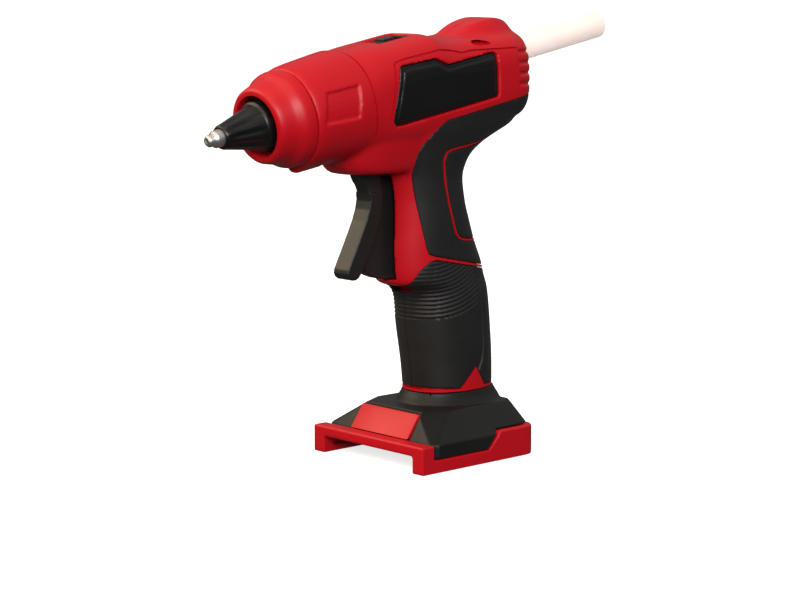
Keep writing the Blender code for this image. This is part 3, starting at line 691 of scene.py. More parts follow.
@dataclass
class GunForm:
    """Outer form of the shell: barrel and body, handle, chin and hump."""

    # a, lean, top h, bottom h, half width, squareness
    body: Rings = Rings((
        (34.0, 10.3, 18.9, -19.4, 19.0, 2.0), (39.8, 10.3, 19.3, -19.8, 19.4, 2.0),
        (41.6, 10.3, 20.1, -20.9, 20.3, 2.0), (58.0, 10.3, 21.1, -22.2, 21.4, 2.05),
        (66.0, 10.3, 21.4, -22.6, 21.8, 2.1), (69.0, 10.3, 20.3, -22.6, 21.6, 2.3),
        (76.0, 10.3, 20.2, -23.0, 21.8, 2.8), (88.0, 10.3, 19.9, -24.0, 22.0, 3.2),
        (107.0, 10.3, 19.7, -25.0, 22.0, 3.4), (112.0, 10.3, 17.6, -25.0, 22.0, 3.4),
        (121.0, 10.3, 15.2, -25.0, 22.0, 3.4), (128.0, 10.3, 14.2, -25.0, 22.0, 3.4),
        (148.0, 10.3, 12.0, -25.0, 21.6, 3.4), (156.7, 3.0, 11.0, -26.0, 19.6, 3.0),
        (159.0, 0.0, 9.8, -25.0, 17.2, 2.8), (159.8, -1.0, 8.0, -23.5, 14.2, 2.6)))
    # z, front x, rear x, half width, squareness
    handle: Rings = Rings((
        (21.0, -6.0, 34.4, 15.7, 2.2), (27.0, -6.2, 34.4, 15.8, 2.2), (36.0, -7.0, 34.3, 16.0, 2.2),
        (56.0, -10.0, 32.6, 16.7, 2.2), (66.0, -10.8, 31.1, 17.1, 2.2), (70.5, -13.5, 30.2, 17.3, 2.2),
        (73.8, -21.0, 29.0, 17.5, 2.25), (80.0, -22.2, 27.0, 17.6, 2.3), (88.0, -22.5, 23.2, 17.5, 2.3),
        (98.0, -22.2, 19.4, 17.4, 2.3), (106.0, -22.2, 16.8, 17.2, 2.3), (116.0, -23.5, 15.2, 17.4, 2.3),
        (122.0, -26.0, 17.0, 18.0, 2.4), (126.0, -28.0, 20.0, 18.6, 2.5), (130.5, -30.0, 27.0, 19.4, 2.6),
        (133.5, -31.0, 33.0, 20.2, 2.8), (137.5, -31.0, 41.5, 20.8, 3.0), (141.0, -31.0, 44.4, 21.0, 3.0),
        (148.0, -31.0, 44.4, 20.4, 3.0)))
    chin: Rings = Rings((
        (119.6, -46.0, -4.0, 13.5, 2.6), (121.5, -48.3, -4.0, 15.2, 2.6), (126.0, -50.0, -4.0, 16.8, 2.6),
        (134.0, -50.5, -4.0, 18.6, 2.6)))
    # x, top z, half width at the top, half width at the foot
    hump: Rings = Rings((
        (8.0, 170.5, 5.0, 9.0), (11.5, 173.2, 5.5, 10.5), (16.0, 175.9, 6.4, 14.0), (21.0, 178.0, 7.2, 16.2),
        (27.0, 179.7, 7.8, 17.0), (32.5, 180.4, 8.0, 17.2), (37.5, 179.9, 7.8, 17.0), (41.0, 178.0, 7.4, 16.4),
        (43.4, 174.6, 7.0, 15.6), (44.7, 170.0, 6.6, 14.6)))
    hump_foot: float = 167.0
    fine: int = 112

    def body_shape(self, inset: float = 0.0, around: int = 48) -> bmesh.types.BMesh:
        """Make the barrel and body, drawn in by inset."""
        last = self.body.rows[-1][0]

        def place(round_share: float, along_share: float) -> Vector:
            """Give the point at a share round and a share along."""
            a, lean, top, bottom, half, power = self.body.at(along_share)
            y, rise = superellipse(round_share, half - inset, (top - bottom) / 2 - inset, power)
            lean, rise = math.radians(lean), rise + (top + bottom) / 2
            middle = AXIS.point(min(a, last - inset), 0.0, 0.0)
            return middle + Vector((-rise * math.sin(lean), y, rise * math.cos(lean)))

        return tube(around, 8 * (len(self.body.rows) - 1), place)

    def standing_shape(self, rings: Rings, inset: float = 0.0, around: int = 48) -> bmesh.types.BMesh:
        """Make a form through level rings, drawn in by inset."""

        def place(round_share: float, along_share: float) -> Vector:
            """Give the point at a share round and a share along."""
            z, front, rear, half, power = rings.at(along_share)
            x, y = superellipse(round_share, (rear - front) / 2 - inset, half - inset, power)
            return Vector(((front + rear) / 2 + x, y, z + inset * (1 - along_share)))

        return tube(around, 6 * (len(rings.rows) - 1), place)

    def hump_shape(self, inset: float = 0.0) -> bmesh.types.BMesh:
        """Make the hump over the stick's inlet, with its sloping cheeks."""
        corners = ((-1, 0), (-1, 1), (1, 1), (1, 0))

        def place(round_share: float, along_share: float) -> Vector:
            """Give the point at a share round and a share along."""
            x, top, upper, lower = self.hump.at(along_share)
            step = round_share * len(corners)
            i = int(step) % len(corners)
            (side_a, level_a), (side_b, level_b) = corners[i], corners[(i + 1) % len(corners)]
            t = step - int(step)
            side, level = side_a + (side_b - side_a) * t, level_a + (level_b - level_a) * t
            half = lower + (upper - lower) * level - inset
            return Vector((x, side * half, self.hump_foot + (top - inset - self.hump_foot) * level))

        return tube(32, 4 * (len(self.hump.rows) - 1), place)

    def whole(self, inset: float, around: int = 48) -> bmesh.types.BMesh:
        """Join the whole form, drawn in by inset."""
        return joined(self.body_shape(inset, around), self.standing_shape(self.handle, inset, around),
                      self.standing_shape(self.chin, inset, around), self.hump_shape(inset))

    def hollow(self) -> bmesh.types.BMesh:
        """Make the room inside the shell."""
        walls = ((34.0, 3.0), (69.0, 3.0), (88.0, 4.4), (159.8, 4.4))

        def place(round_share: float, along_share: float) -> Vector:
            """Give the point at a share round and a share along."""
            a, lean, top, bottom, half, power = self.body.at(along_share)
            wall = next(w1 + (w2 - w1) * (a - a1) / (a2 - a1) for (a1, w1), (a2, w2) in zip(walls, walls[1:])
                        if a <= a2 + 0.01)
            y, rise = superellipse(round_share, half - wall, (top - bottom) / 2 - wall, power)
            lean, rise = math.radians(lean), rise + (top + bottom) / 2
            middle = AXIS.point(min(a, walls[-1][0] - wall), 0.0, 0.0)
            return middle + Vector((-rise * math.sin(lean), y, rise * math.cos(lean)))

        inside = tube(40, 40, place)
        handle = self.standing_shape(self.handle, 4.4, 40)
        stretched = [v for v in handle.verts if v.co.z < 30.0]
        bmesh.ops.translate(handle, vec=(0.0, 0.0, -8.0), verts=stretched)
        chin = self.standing_shape(self.chin, 2.6, 40)
        bmesh.ops.translate(chin, vec=(0.0, 0.0, 1.2), verts=chin.verts)
        return joined(inside, handle, chin)


FORM = GunForm()


# ---- the housing and what is laid into it ------------------------------------------------------------
@dataclass
class Housing:
    """Red shell in two halves, with the soft grips, back pad and label panels laid into its sides."""

    skin: float = 2.0
    parting: float = 0.3
    upper_grip: Outline = (
        (60.0, 153.0), (34.8, 147.7), (-6.0, 140.4), (-10.6, 137.4), (-14.0, 134.0), (-16.8, 130.8),
        (-18.6, 127.4), (-19.2, 124.0), (-19.2, 121.0), (-15.6, 103.5), (-12.4, 88.8), (-11.2, 86.0),
        (-8.4, 84.9), (12.0, 80.6), (60.0, 70.5))
    pad: Outline = (
        (60.0, 135.0), (28.0, 131.5), (10.0, 129.2), (-1.2, 127.8), (-3.4, 127.0), (-4.6, 125.4), (-4.8, 123.4),
        (-3.0, 113.9), (-0.8, 105.6), (1.8, 97.0), (3.0, 93.8), (4.6, 92.0), (7.0, 91.1), (12.0, 90.5),
        (60.0, 86.0))
    lower_grip: Outline = (
        (-18.0, 72.0), (-16.4, 75.0), (-14.8, 78.5), (-13.0, 81.0), (-10.4, 82.9), (-8.1, 83.5), (12.0, 79.4),
        (60.0, 69.4), (60.0, 28.4), (21.2, 28.2), (15.6, 36.6), (7.6, 28.2), (-30.0, 30.0), (-30.0, 69.6),
        (-18.8, 70.2))
    label: Outline = (
        (84.7, 11.2), (103.2, 10.4), (104.4, 9.8), (109.4, 6.6), (135.0, 6.2), (136.6, 5.6), (137.2, 4.4),
        (134.8, -11.8), (80.4, -11.4), (78.0, -10.9), (77.0, -9.6), (77.0, -7.6))
    barrel_recess: Outline = ((46.4, 9.2), (62.8, 9.0), (59.6, -3.7), (42.6, -2.4))
    # The line round the panel's upper and front edge, and the vent in the hump's cheek, in x and z
    crease: Outline = ((-38.0, 142.1), (-36.4, 149.8), (-35.2, 157.6), (-34.4, 163.6), (-33.4, 164.5),
                       (-28.1, 165.9), (-9.1, 168.9), (-2.0, 168.4), (3.0, 167.4), (8.6, 168.2), (34.7, 168.6))
    vent: Outline = ((11.2, 170.6), (12.6, 171.6), (16.0, 171.9), (20.0, 171.3), (21.4, 170.4), (20.0, 169.8),
                     (15.6, 169.5), (12.4, 169.8))
    rear_notches: Sequence[float] = (166.6, 162.1, 157.7, 153.3)
    screws: dict[str, tuple[float, float, float]] = field(default_factory=lambda: {
        "chin_screw": (-46.2, 127.0, 9.5), "barrel_screw": (-39.0, 164.4, 9.5),
        "body_screw_rear_top": (29.0, 174.0, 8.5), "body_screw_rear_low": (29.0, 142.5, 13.0),
        "handle_screw_upper": (16.0, 85.2, 9.5), "handle_screw_lower": (22.5, 46.0, 8.5)})
    head_radius: float = 2.9
    rib_pitch: float = 1.75
    rib_depth: float = 0.42
    ribs_low: float = 58.2
    ribs_high: float = 70.5

    # Rooms in the shell by their x, y and z ranges
    trigger_slot: Room = ((-41.6, 2.0), (-5.6, 5.6), (75.1, 131.0))
    foot_room: Room = ((-60.0, 60.0), (-40.0, 40.0), (0.0, 27.0))
    foot_line: Room = ((-40.0, 7.0), (-40.0, 40.0), (28.0, 28.7))
    # Rooms on the barrel by their a, y and h ranges
    bezel_seat: Room = ((87.5, 107.6), (-6.6, 6.6), (17.6, 26.0))
    switch_window: Room = ((91.6, 104.0), (-3.6, 3.6), (8.0, 26.0))
    collar_room: Room = ((20.0, 39.8), (-40.0, 40.0), (-40.0, 40.0))
    shoulder_line: Room = ((67.4, 68.2), (-40.0, 40.0), (-13.0, 40.0))
    crease_width: float = 0.8
    crease_depth: float = 0.6
    vent_depth: float = 1.4
    notch_half: float = 0.75
    notch_depth: float = 1.15
    boss_radius: float = 4.0
    inlet_radius: float = 8.4
    shank_room: float = 1.7
    head_clearance: float = 0.35
    shell_voxel: float = 0.5
    soft_voxel: float = 0.45
    fine_voxel: float = 0.36
    mould_rounds: int = 3

    def pressed_in(self, outline: Outline, grow: float, depth: float) -> bmesh.types.BMesh:
        """Make a cutter that sinks an outline on the barrel's axes into the gun's sides by a depth."""
        return cut(across(outline, grow, barrel=True), FORM.whole(depth))

    def crease_cutter(self) -> bmesh.types.BMesh:
        """Make the line round the label panel and the vent's slit."""
        wide = self.crease_width
        inner = [(x + wide, z) if i < 4 else (x, z - wide) for i, (x, z) in enumerate(self.crease)]
        band = prism(list(self.crease) + inner[::-1], -45.0, 45.0)
        slit = cut(across(self.vent), FORM.whole(self.vent_depth))
        return joined(cut(band, FORM.whole(self.crease_depth)), slit)

    def line_cutters(self) -> bmesh.types.BMesh:
        """Make the lines behind the barrel's shoulder and round the foot of the handle."""
        shoulder = cut(block(*self.shoulder_line, barrel=True), FORM.whole(0.5))
        return joined(shoulder, cut(block(*self.foot_line), FORM.whole(1.3)))

    def notch_cutters(self) -> bmesh.types.BMesh:
        """Make the level notches in the rear of the body."""
        half = self.notch_half
        slabs = [block((34.5, 70.0), (-40.0, 40.0), (z - half, z + half)) for z in self.rear_notches]
        return cut(joined(*slabs), FORM.whole(self.notch_depth))

    def well(self, x: float, z: float, seat: float) -> list[bmesh.types.BMesh]:
        """Make the head well and the hole of one shell screw."""
        head_room = self.head_radius + self.head_clearance
        return [rod(Vector((x, seat - 0.3, z)), Vector((x, 40.0, z)), head_room, 32),
                rod(Vector((x, -9.4, z)), Vector((x, seat + 0.1, z)), self.shank_room, 24)]

    def build_shell(self, base: bmesh.types.BMesh) -> None:
        """Cut the gun's form into the two shell halves.

        Args:
            base: the outer form, which is used up.
        """
        bump = rod(AXIS.point(34.0, 0, -16.6), AXIS.point(54.0, 0, -17.6), 5.6, 32, 5.0, edge=2.0)
        shell = cut(
            joined(base, bump),
            self.pressed_in(self.label, 0.25, self.skin + 0.3),
            self.pressed_in(self.barrel_recess, 0.0, 0.9),
            self.notch_cutters(),
            block(*self.trigger_slot),
            block(*self.bezel_seat, barrel=True),
            block(*self.collar_room, barrel=True),
        )
        shell = moulded(shell, self.shell_voxel, self.mould_rounds)
        bosses = []
        for x, z, _ in self.screws.values():
            post = rod(Vector((x, -30.0, z)), Vector((x, 30.0, z)), self.boss_radius, 24)
            bosses.append(meet(post, FORM.whole(0.8)))
        inside = cut(FORM.hollow(), *bosses)
        shell = cut(
            shell, inside, self.crease_cutter(), self.line_cutters(),
            block(*self.foot_room),
            self.grip_pockets(),
            block(*self.switch_window, barrel=True),
            rod(AXIS.point(140, 0, 0), AXIS.point(176, 0, 0), self.inlet_radius, 64),
            rod(TRIGGER_PIVOT - Vector((0, 16.4, 0)), TRIGGER_PIVOT + Vector((0, 16.4, 0)), 1.9, 24),
            *[tool for x, z, seat in self.screws.values() for tool in self.well(x, z, seat)],
        )
        for side in Side:
            half = meet(shell.copy(), half_space(side, self.parting))
            name = side.name.lower()
            finish_piece(f"shell_{name}", half, SHELL_RED, Body.GUN, [f"housing_{name}"])
        shell.free()

    def grip_pockets(self) -> bmesh.types.BMesh:
        """Make the cutter for the seats of the grips and the pad, with a thin red rib left between them."""
        upper = cut(across(self.upper_grip, 0.12), across(self.pad, 0.8))
        whole = joined(upper, across(self.pad, 0.08), across(self.lower_grip, 0.12))
        return cut(whole, FORM.whole(self.skin + 0.3))

    def build_grips(self, base: bmesh.types.BMesh) -> None:
        """Make the soft sides of the handle and the pad on its back.

        Args:
            base: the outer form.
        """
        slot_half = self.trigger_slot[1][1] + 0.2
        slot = block((-60.0, 2.6), (-slot_half, slot_half), (69.0, 131.0))
        wells = [tool for x, z, seat in self.screws.values() for tool in self.well(x, z, seat)]
        core = FORM.whole(self.skin)
        upper = cut(meet(base.copy(), across(self.upper_grip, -0.05)), across(self.pad, 0.9), core.copy(),
                    slot.copy(), *[well.copy() for well in wells])
        pad = cut(meet(base.copy(), across(self.pad, -0.1)), core.copy())
        lower = cut(meet(base.copy(), across(self.lower_grip, -0.05)), core, slot, *wells)
        pad = moulded(pad, self.soft_voxel, self.mould_rounds)
        finish_piece("back_pad", pad, GRIP_BLACK, Body.GUN, ["backstrap_pad"])
        self.finish_halves("upper_grip", moulded(upper, self.soft_voxel, self.mould_rounds), "grip_upper")
        ribbed = moulded(lower, self.fine_voxel, self.mould_rounds)
        self.carve_ribs(ribbed)
        self.finish_halves("ribbed_grip", ribbed, "grip_lower")

    def finish_halves(self, name: str, whole: bmesh.types.BMesh, node: str) -> None:
        """Part a soft piece in the middle and finish its halves."""
        for side in Side:
            half = meet(whole.copy(), half_space(side, self.parting))
            label = side.name.lower()
            finish_piece(f"{name}_{label}", half, GRIP_BLACK, Body.GUN, [f"{node}_{label}"])
        whole.free()

    def rib_height(self, x: float, y: float, z: float) -> float:
        """Give how deep the lower grip's surface is carved at a point, in millimetres."""
        low = self.ribs_low + 0.0105 * max(x + 8.0, 0.0) ** 2
        high = self.ribs_high + 0.0135 * max(x + 10.0, 0.0) ** 2
        along = (z - low) / (high - low) * (self.ribs_high - self.ribs_low) / self.rib_pitch
        if along < -0.2:
            carved = 0.0
        else:
            carved = self.rib_depth * (0.5 + 0.5 * math.cos(2 * math.pi * along)) ** 1.6
        strip = self.strip_line(z)
        front = min(max((x + 10.8) / 2.0, 0.45), 1.0)
        rear = min(max((strip - 2.2 - x) / 0.8, 0.0), 1.0)
        seam = 0.8 * math.exp(-((x - strip) / 0.5) ** 2) if abs(y) > 3.0 else 0.0
        return carved * front * rear + seam

    def strip_line(self, z: float) -> float:
        """Give the x of the groove that parts the grip's rear strip, at a height."""
        line = Rings(((26.0, 21.0), (33.7, 17.2), (39.6, 19.8), (46.0, 20.6), (56.6, 20.0), (67.3, 18.8),
                      (80.0, 16.2)))
        return line.near(z)[1]

    def carve_ribs(self, bm: bmesh.types.BMesh) -> None:
        """Press the fan of ribs and the strip's groove into the lower grip's outer skin."""
        bm.normal_update()
        moves = []
        for vert in bm.verts:
            _, front, rear, half, power = FORM.handle.near(vert.co.z)
            x = vert.co.x - (front + rear) / 2
            level = abs(2 * x / (rear - front)) ** power + abs(vert.co.y / half) ** power
            if level > 0.9:
                moves.append((vert, vert.normal * self.rib_height(*vert.co)))
        for vert, move in moves:
            vert.co -= move

    def build_labels(self, base: bmesh.types.BMesh) -> None:
        """Make the plain black panels: a border, and a plate that stands a little proud of it."""
        plate_outline = offset_outline(self.label, -2.1)
        for side in Side:
            far = block((-200, 200), (18.9, 60.0) if side is Side.RIGHT else (-60.0, -18.9), (0, 300))
            border = cut(meet(base.copy(), across(self.label, -0.05, barrel=True)), FORM.whole(self.skin),
                         cut(across(self.label, 1.0, barrel=True), FORM.whole(0.75)))
            border = meet(border, far.copy())
            plate = cut(meet(base.copy(), across(plate_outline, 0.0, barrel=True)), FORM.whole(1.5),
                        cut(across(self.label, 1.0, barrel=True), FORM.whole(0.28)))
            plate = meet(plate, far)
            name = side.name.lower()
            panel = moulded(joined(border, plate), self.fine_voxel, self.mould_rounds)
            finish_piece(f"label_panel_{name}_plain", panel, LABEL_BLACK, Body.GUN,
                         [f"label_panel_{name}"])

    def build_screws(self) -> None:
        """Make the six screws that hold the shell's halves together."""
        for name, (x, z, seat) in self.screws.items():
            shape = cross_screw(Vector((x, seat, z)), Vector((0, 1, 0)), self.head_radius, seat + 9.0)
            finish_piece(f"{name}_steel", shape, SCREW_METAL, Body.GUN, [name])

    def build(self) -> None:
        """Build the shell, its grips, its panels and its screws."""
        base = moulded(FORM.whole(0.0, FORM.fine), 0.8, 10)
        self.build_grips(base)
        self.build_labels(base)
        self.build_shell(base)
        self.build_screws()


def cross_screw(seat: Vector, out: Vector, head: float, length: float) -> bmesh.types.BMesh:
    """Make a pan-head screw with a cross recess.

    Args:
        seat: middle of the seat under its head.
        out: direction that its head faces.
        head: radius of the head.
        length: length of the shank.

    Returns:
        The closed screw.
    """
    bm = joined(rod(seat, seat + out * 2.2, head, 48, head * 0.86, edge=0.5),
                rod(seat - out * length, seat + out * 0.5, 1.45, 24, edge=0.3))
    arms = []
    for turn in (0.0, math.pi / 2):
        arm = block((-head * 0.62, head * 0.62), (-2.0, 2.0), (-0.42, 0.42))
        spin = out.to_track_quat("Y", "Z").to_matrix().to_4x4() @ Matrix.Rotation(turn, 4, "Y")
        bmesh.ops.transform(arm, matrix=Matrix.Translation(seat + out * 2.9) @ spin, verts=arm.verts)
        arms.append(arm)
    return cut(bm, *arms)


# ---- nozzle, stick and trigger -----------------------------------------------------------------------
@dataclass
class Nozzle:
    """Collar, metal nozzle and fluted silicone sleeve at the barrel's front."""

    flutes: int = 10
    flute_depth: float = 0.55
    teeth: int = 12
    collar: Outline = (
        (24.6, 12.3), (24.6, 13.6), (24.7, 14.0), (25.0, 14.5), (25.6, 15.0), (27.5, 15.6), (29.6, 16.2),
        (31.2, 16.7), (32.2, 17.2), (33.4, 18.1), (34.4, 18.7), (35.6, 19.1), (37.2, 19.3), (39.1, 19.3),
        (39.4, 19.0), (39.4, 16.0), (41.5, 16.0), (41.5, 15.2), (34.0, 13.4), (31.0, 12.3), (25.0, 12.1))
    tip: Outline = (
        (0.0, 0.9), (0.0, 1.65), (0.15, 1.8), (0.7, 2.25), (0.9, 2.35), (2.6, 2.5), (2.9, 2.7), (3.6, 3.3),
        (3.9, 3.42), (10.0, 3.7), (29.0, 4.6), (29.0, 1.6), (14.0, 0.9), (0.4, 0.75))
    sleeve: Outline = (
        (6.4, 3.9), (6.4, 4.2), (6.6, 4.45), (7.4, 4.9), (9.0, 5.25), (11.0, 5.75), (13.0, 6.25), (15.0, 6.75),
        (17.0, 7.25), (19.0, 7.8), (21.0, 8.3), (23.0, 8.75), (23.6, 8.9), (24.0, 9.4), (24.2, 9.8),
        (25.0, 9.95), (27.8, 9.95), (28.6, 9.7), (28.6, 5.0), (10.4, 4.05))

    def build(self) -> None:
        """Build the three pieces."""
        finish_piece("collar_ring", turned(self.collar, 128), SHELL_RED, Body.GUN,
                     ["front_collar"])
        finish_piece("nozzle_turned", turned(self.tip, 64), NOZZLE_METAL, Body.GUN,
                     ["nozzle_tip"])
        finish_piece("fluted_sleeve", self.fluted(), SLEEVE_BLACK, Body.GUN, ["nozzle_sleeve"])

    def fluted(self) -> bmesh.types.BMesh:
        """Make the sleeve with flutes down its cone and notches round its rim."""
        bm = turned(self.sleeve, 120)
        back = AXIS.matrix().inverted()
        for vert in bm.verts:
            local = back @ vert.co
            radius, angle = math.hypot(local.y, local.z), math.atan2(local.y, local.z)
            outer = radius > 4.1 + 0.2 * (local.x - 6.4)
            if outer and 7.2 < local.x < 23.2:
                fade = min((local.x - 7.2) / 3.0, (23.2 - local.x) / 1.5, 1.0)
                wave = (0.5 - 0.5 * math.cos(self.flutes * angle)) ** 1.5
                self.draw_in(vert, local, radius, self.flute_depth * fade * wave)
            if radius > 9.5 and local.x > 24.4:
                wave = max(math.cos(self.teeth * angle), 0.0) ** 3
                self.draw_in(vert, local, radius, 0.5 * wave)
        return bm

    def draw_in(self, vert: bmesh.types.BMVert, local: Vector, radius: float, depth: float) -> None:
        """Move a point towards the barrel's axis by a depth."""
        vert.co = AXIS.point(local.x, local.y * (1 - depth / radius), local.z * (1 - depth / radius))


@dataclass
class StickAndInlet:
    """Glue stick and the bush that guides it at the rear."""

    start: float = 61.0
    end: float = 219.6
    radius: float = 5.6
    edge: float = 0.45
    bush: Outline = ((146.0, 6.1), (146.0, 7.9), (158.0, 7.9), (158.4, 7.8), (158.6, 7.5), (158.6, 6.9),
                     (157.8, 6.5), (156.6, 6.1))

    def build(self) -> None:
        """Build the stick and its bush."""
        stick = bmesh.new()
        bmesh.ops.create_cone(stick, cap_ends=True, segments=96, radius1=self.radius, radius2=self.radius,
                              depth=self.end - self.start)
        rounded(stick, end_rims(stick), self.edge)
        turn = Matrix.Rotation(math.pi / 2 - AXIS.tilt, 4, "Y")
        middle = AXIS.point((self.start + self.end) / 2, 0, 0)
        bmesh.ops.transform(stick, matrix=Matrix.Translation(middle) @ turn, verts=stick.verts)
        finish_piece("glue_stick_cast", stick, GLUE, Body.STICK, ["glue_stick"])
        finish_piece("inlet_bush", turned(self.bush, 96), FOOT_BLACK, Body.GUN,
                     ["stick_guide"])


@dataclass
class TriggerLever:
    """Long finger lever with the web that runs in the handle's slot."""

    blade: Outline = (
        (-34.5, 127.0), (-35.6, 123.6), (-36.8, 120.6), (-36.9, 118.4), (-35.8, 116.2), (-34.2, 114.2),
        (-33.1, 111.4), (-32.9, 108.4), (-33.6, 104.8), (-35.2, 100.4), (-37.8, 95.0), (-40.6, 89.6),
        (-43.4, 84.2), (-44.9, 81.4), (-45.2, 79.6), (-44.4, 78.0), (-42.8, 77.0), (-41.0, 76.9),
        (-39.2, 77.8), (-37.8, 79.6), (-34.4, 85.2), (-31.0, 91.2), (-28.6, 97.0), (-27.0, 103.0),
        (-26.4, 109.0), (-26.6, 116.0), (-27.4, 127.0))
    web: Outline = (
        (-32.0, 126.0), (-33.0, 118.0), (-30.6, 108.0), (-34.6, 94.0), (-38.4, 85.6), (-36.6, 82.4),
        (-34.0, 79.6), (-31.0, 77.6), (-27.6, 76.3), (-24.6, 75.8), (-22.0, 75.6), (-14.0, 75.6), (-12.0, 90.0),
        (-14.0, 110.0), (-24.0, 127.0), (-28.0, 129.0))
    half: float = 4.6
    neck_half: float = 3.9
    step_z: float = 111.6
    web_half: float = 2.2
    hub_radius: float = 5.0
    arm_half: float = 2.5
    arm_y: Span = (6.0, 9.0)
    pin_room: float = 1.8
    link_pin_room: float = 1.55

    def build(self) -> None:
        """Build the lever as one moulding."""
        wide = prism(self.blade, -self.half, self.half)
        neck = cut(prism(self.blade, -self.neck_half, self.neck_half),
                   block((-60, 0), (-10, 10), (60, self.step_z)))
        wide = cut(wide, block((-60, 0), (-10, 10), (self.step_z, 140)))
        rim = cut(prism(self.web, -3.1, 3.1), prism(offset_outline(self.web, -1.7), -6.0, 6.0),
                  block((-60, 0), (-10, 10), (86.0, 140)))
        front = AXIS.point(82.5, 0, -8.2)
        along = (front - TRIGGER_PIVOT).normalized()
        side = Vector((-along.z, 0, along.x)) * self.arm_half
        arm = [TRIGGER_PIVOT + side, TRIGGER_PIVOT - side, front - side, front + side]
        lever = joined(wide, neck, prism(self.web, -self.web_half, self.web_half), rim,
                       rod(TRIGGER_PIVOT + Vector((0, -5, 0)), TRIGGER_PIVOT + Vector((0, 9, 0)),
                           self.hub_radius, 48),
                       prism([(p.x, p.z) for p in arm], *self.arm_y),
                       rod(front + Vector((0, 6, 0)), front + Vector((0, 9, 0)), 2.6, 32))
        lever = moulded(lever, 0.32, 4)
        reach = Vector((0, 20, 0))
        lever = cut(lever, rod(TRIGGER_PIVOT - reach, TRIGGER_PIVOT + reach, self.pin_room, 32),
                    rod(front, front + reach, self.link_pin_room, 24))
        finish_piece("trigger_lever", lever, TRIGGER_BLACK, Body.TRIGGER, ["trigger"])


@dataclass
class PowerSwitch:
    """Sliding on-off switch in its recess on the body's top; its rooms are a, y and h ranges."""

    bezel: Room = ((87.9, 107.2), (-6.2, 6.2), (17.75, 18.6))
    window: Room = ((91.4, 104.2), (-3.7, 3.7), (16.0, 20.0))
    half_length: float = 2.8
    ribs: int = 4
    rib_pitch: float = 1.55

    def build(self) -> None:
        """Build the bezel plate with its window and the ribbed slider."""
        low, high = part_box("power_switch")
        back = AXIS.matrix().inverted() @ INTO_FRAME.inverted()
        ends = [(back @ Vector((x, 0.0, z))).x for x in (low.x, high.x) for z in (low.z, high.z)]
        middle = sum(ends) / len(ends)
        bezel = cut(block(*self.bezel, barrel=True, edge=0.25), block(*self.window, barrel=True))
        finish_piece("switch_bezel", bezel, FOOT_BLACK, Body.GUN)
        length = (middle - self.half_length, middle + self.half_length)
        knob = block(length, (-3.0, 3.0), (15.0, 19.0), barrel=True, edge=0.3)
        for i in range(self.ribs):
            rib = (middle - 2.3 + self.rib_pitch * i, middle - 1.35 + self.rib_pitch * i)
            knob = joined(knob, block(rib, (-2.9, 2.9), (18.6, 20.0), barrel=True, edge=0.25))
        finish_piece("switch_slider", knob, TRIGGER_BLACK, Body.SWITCH, ["power_switch"])


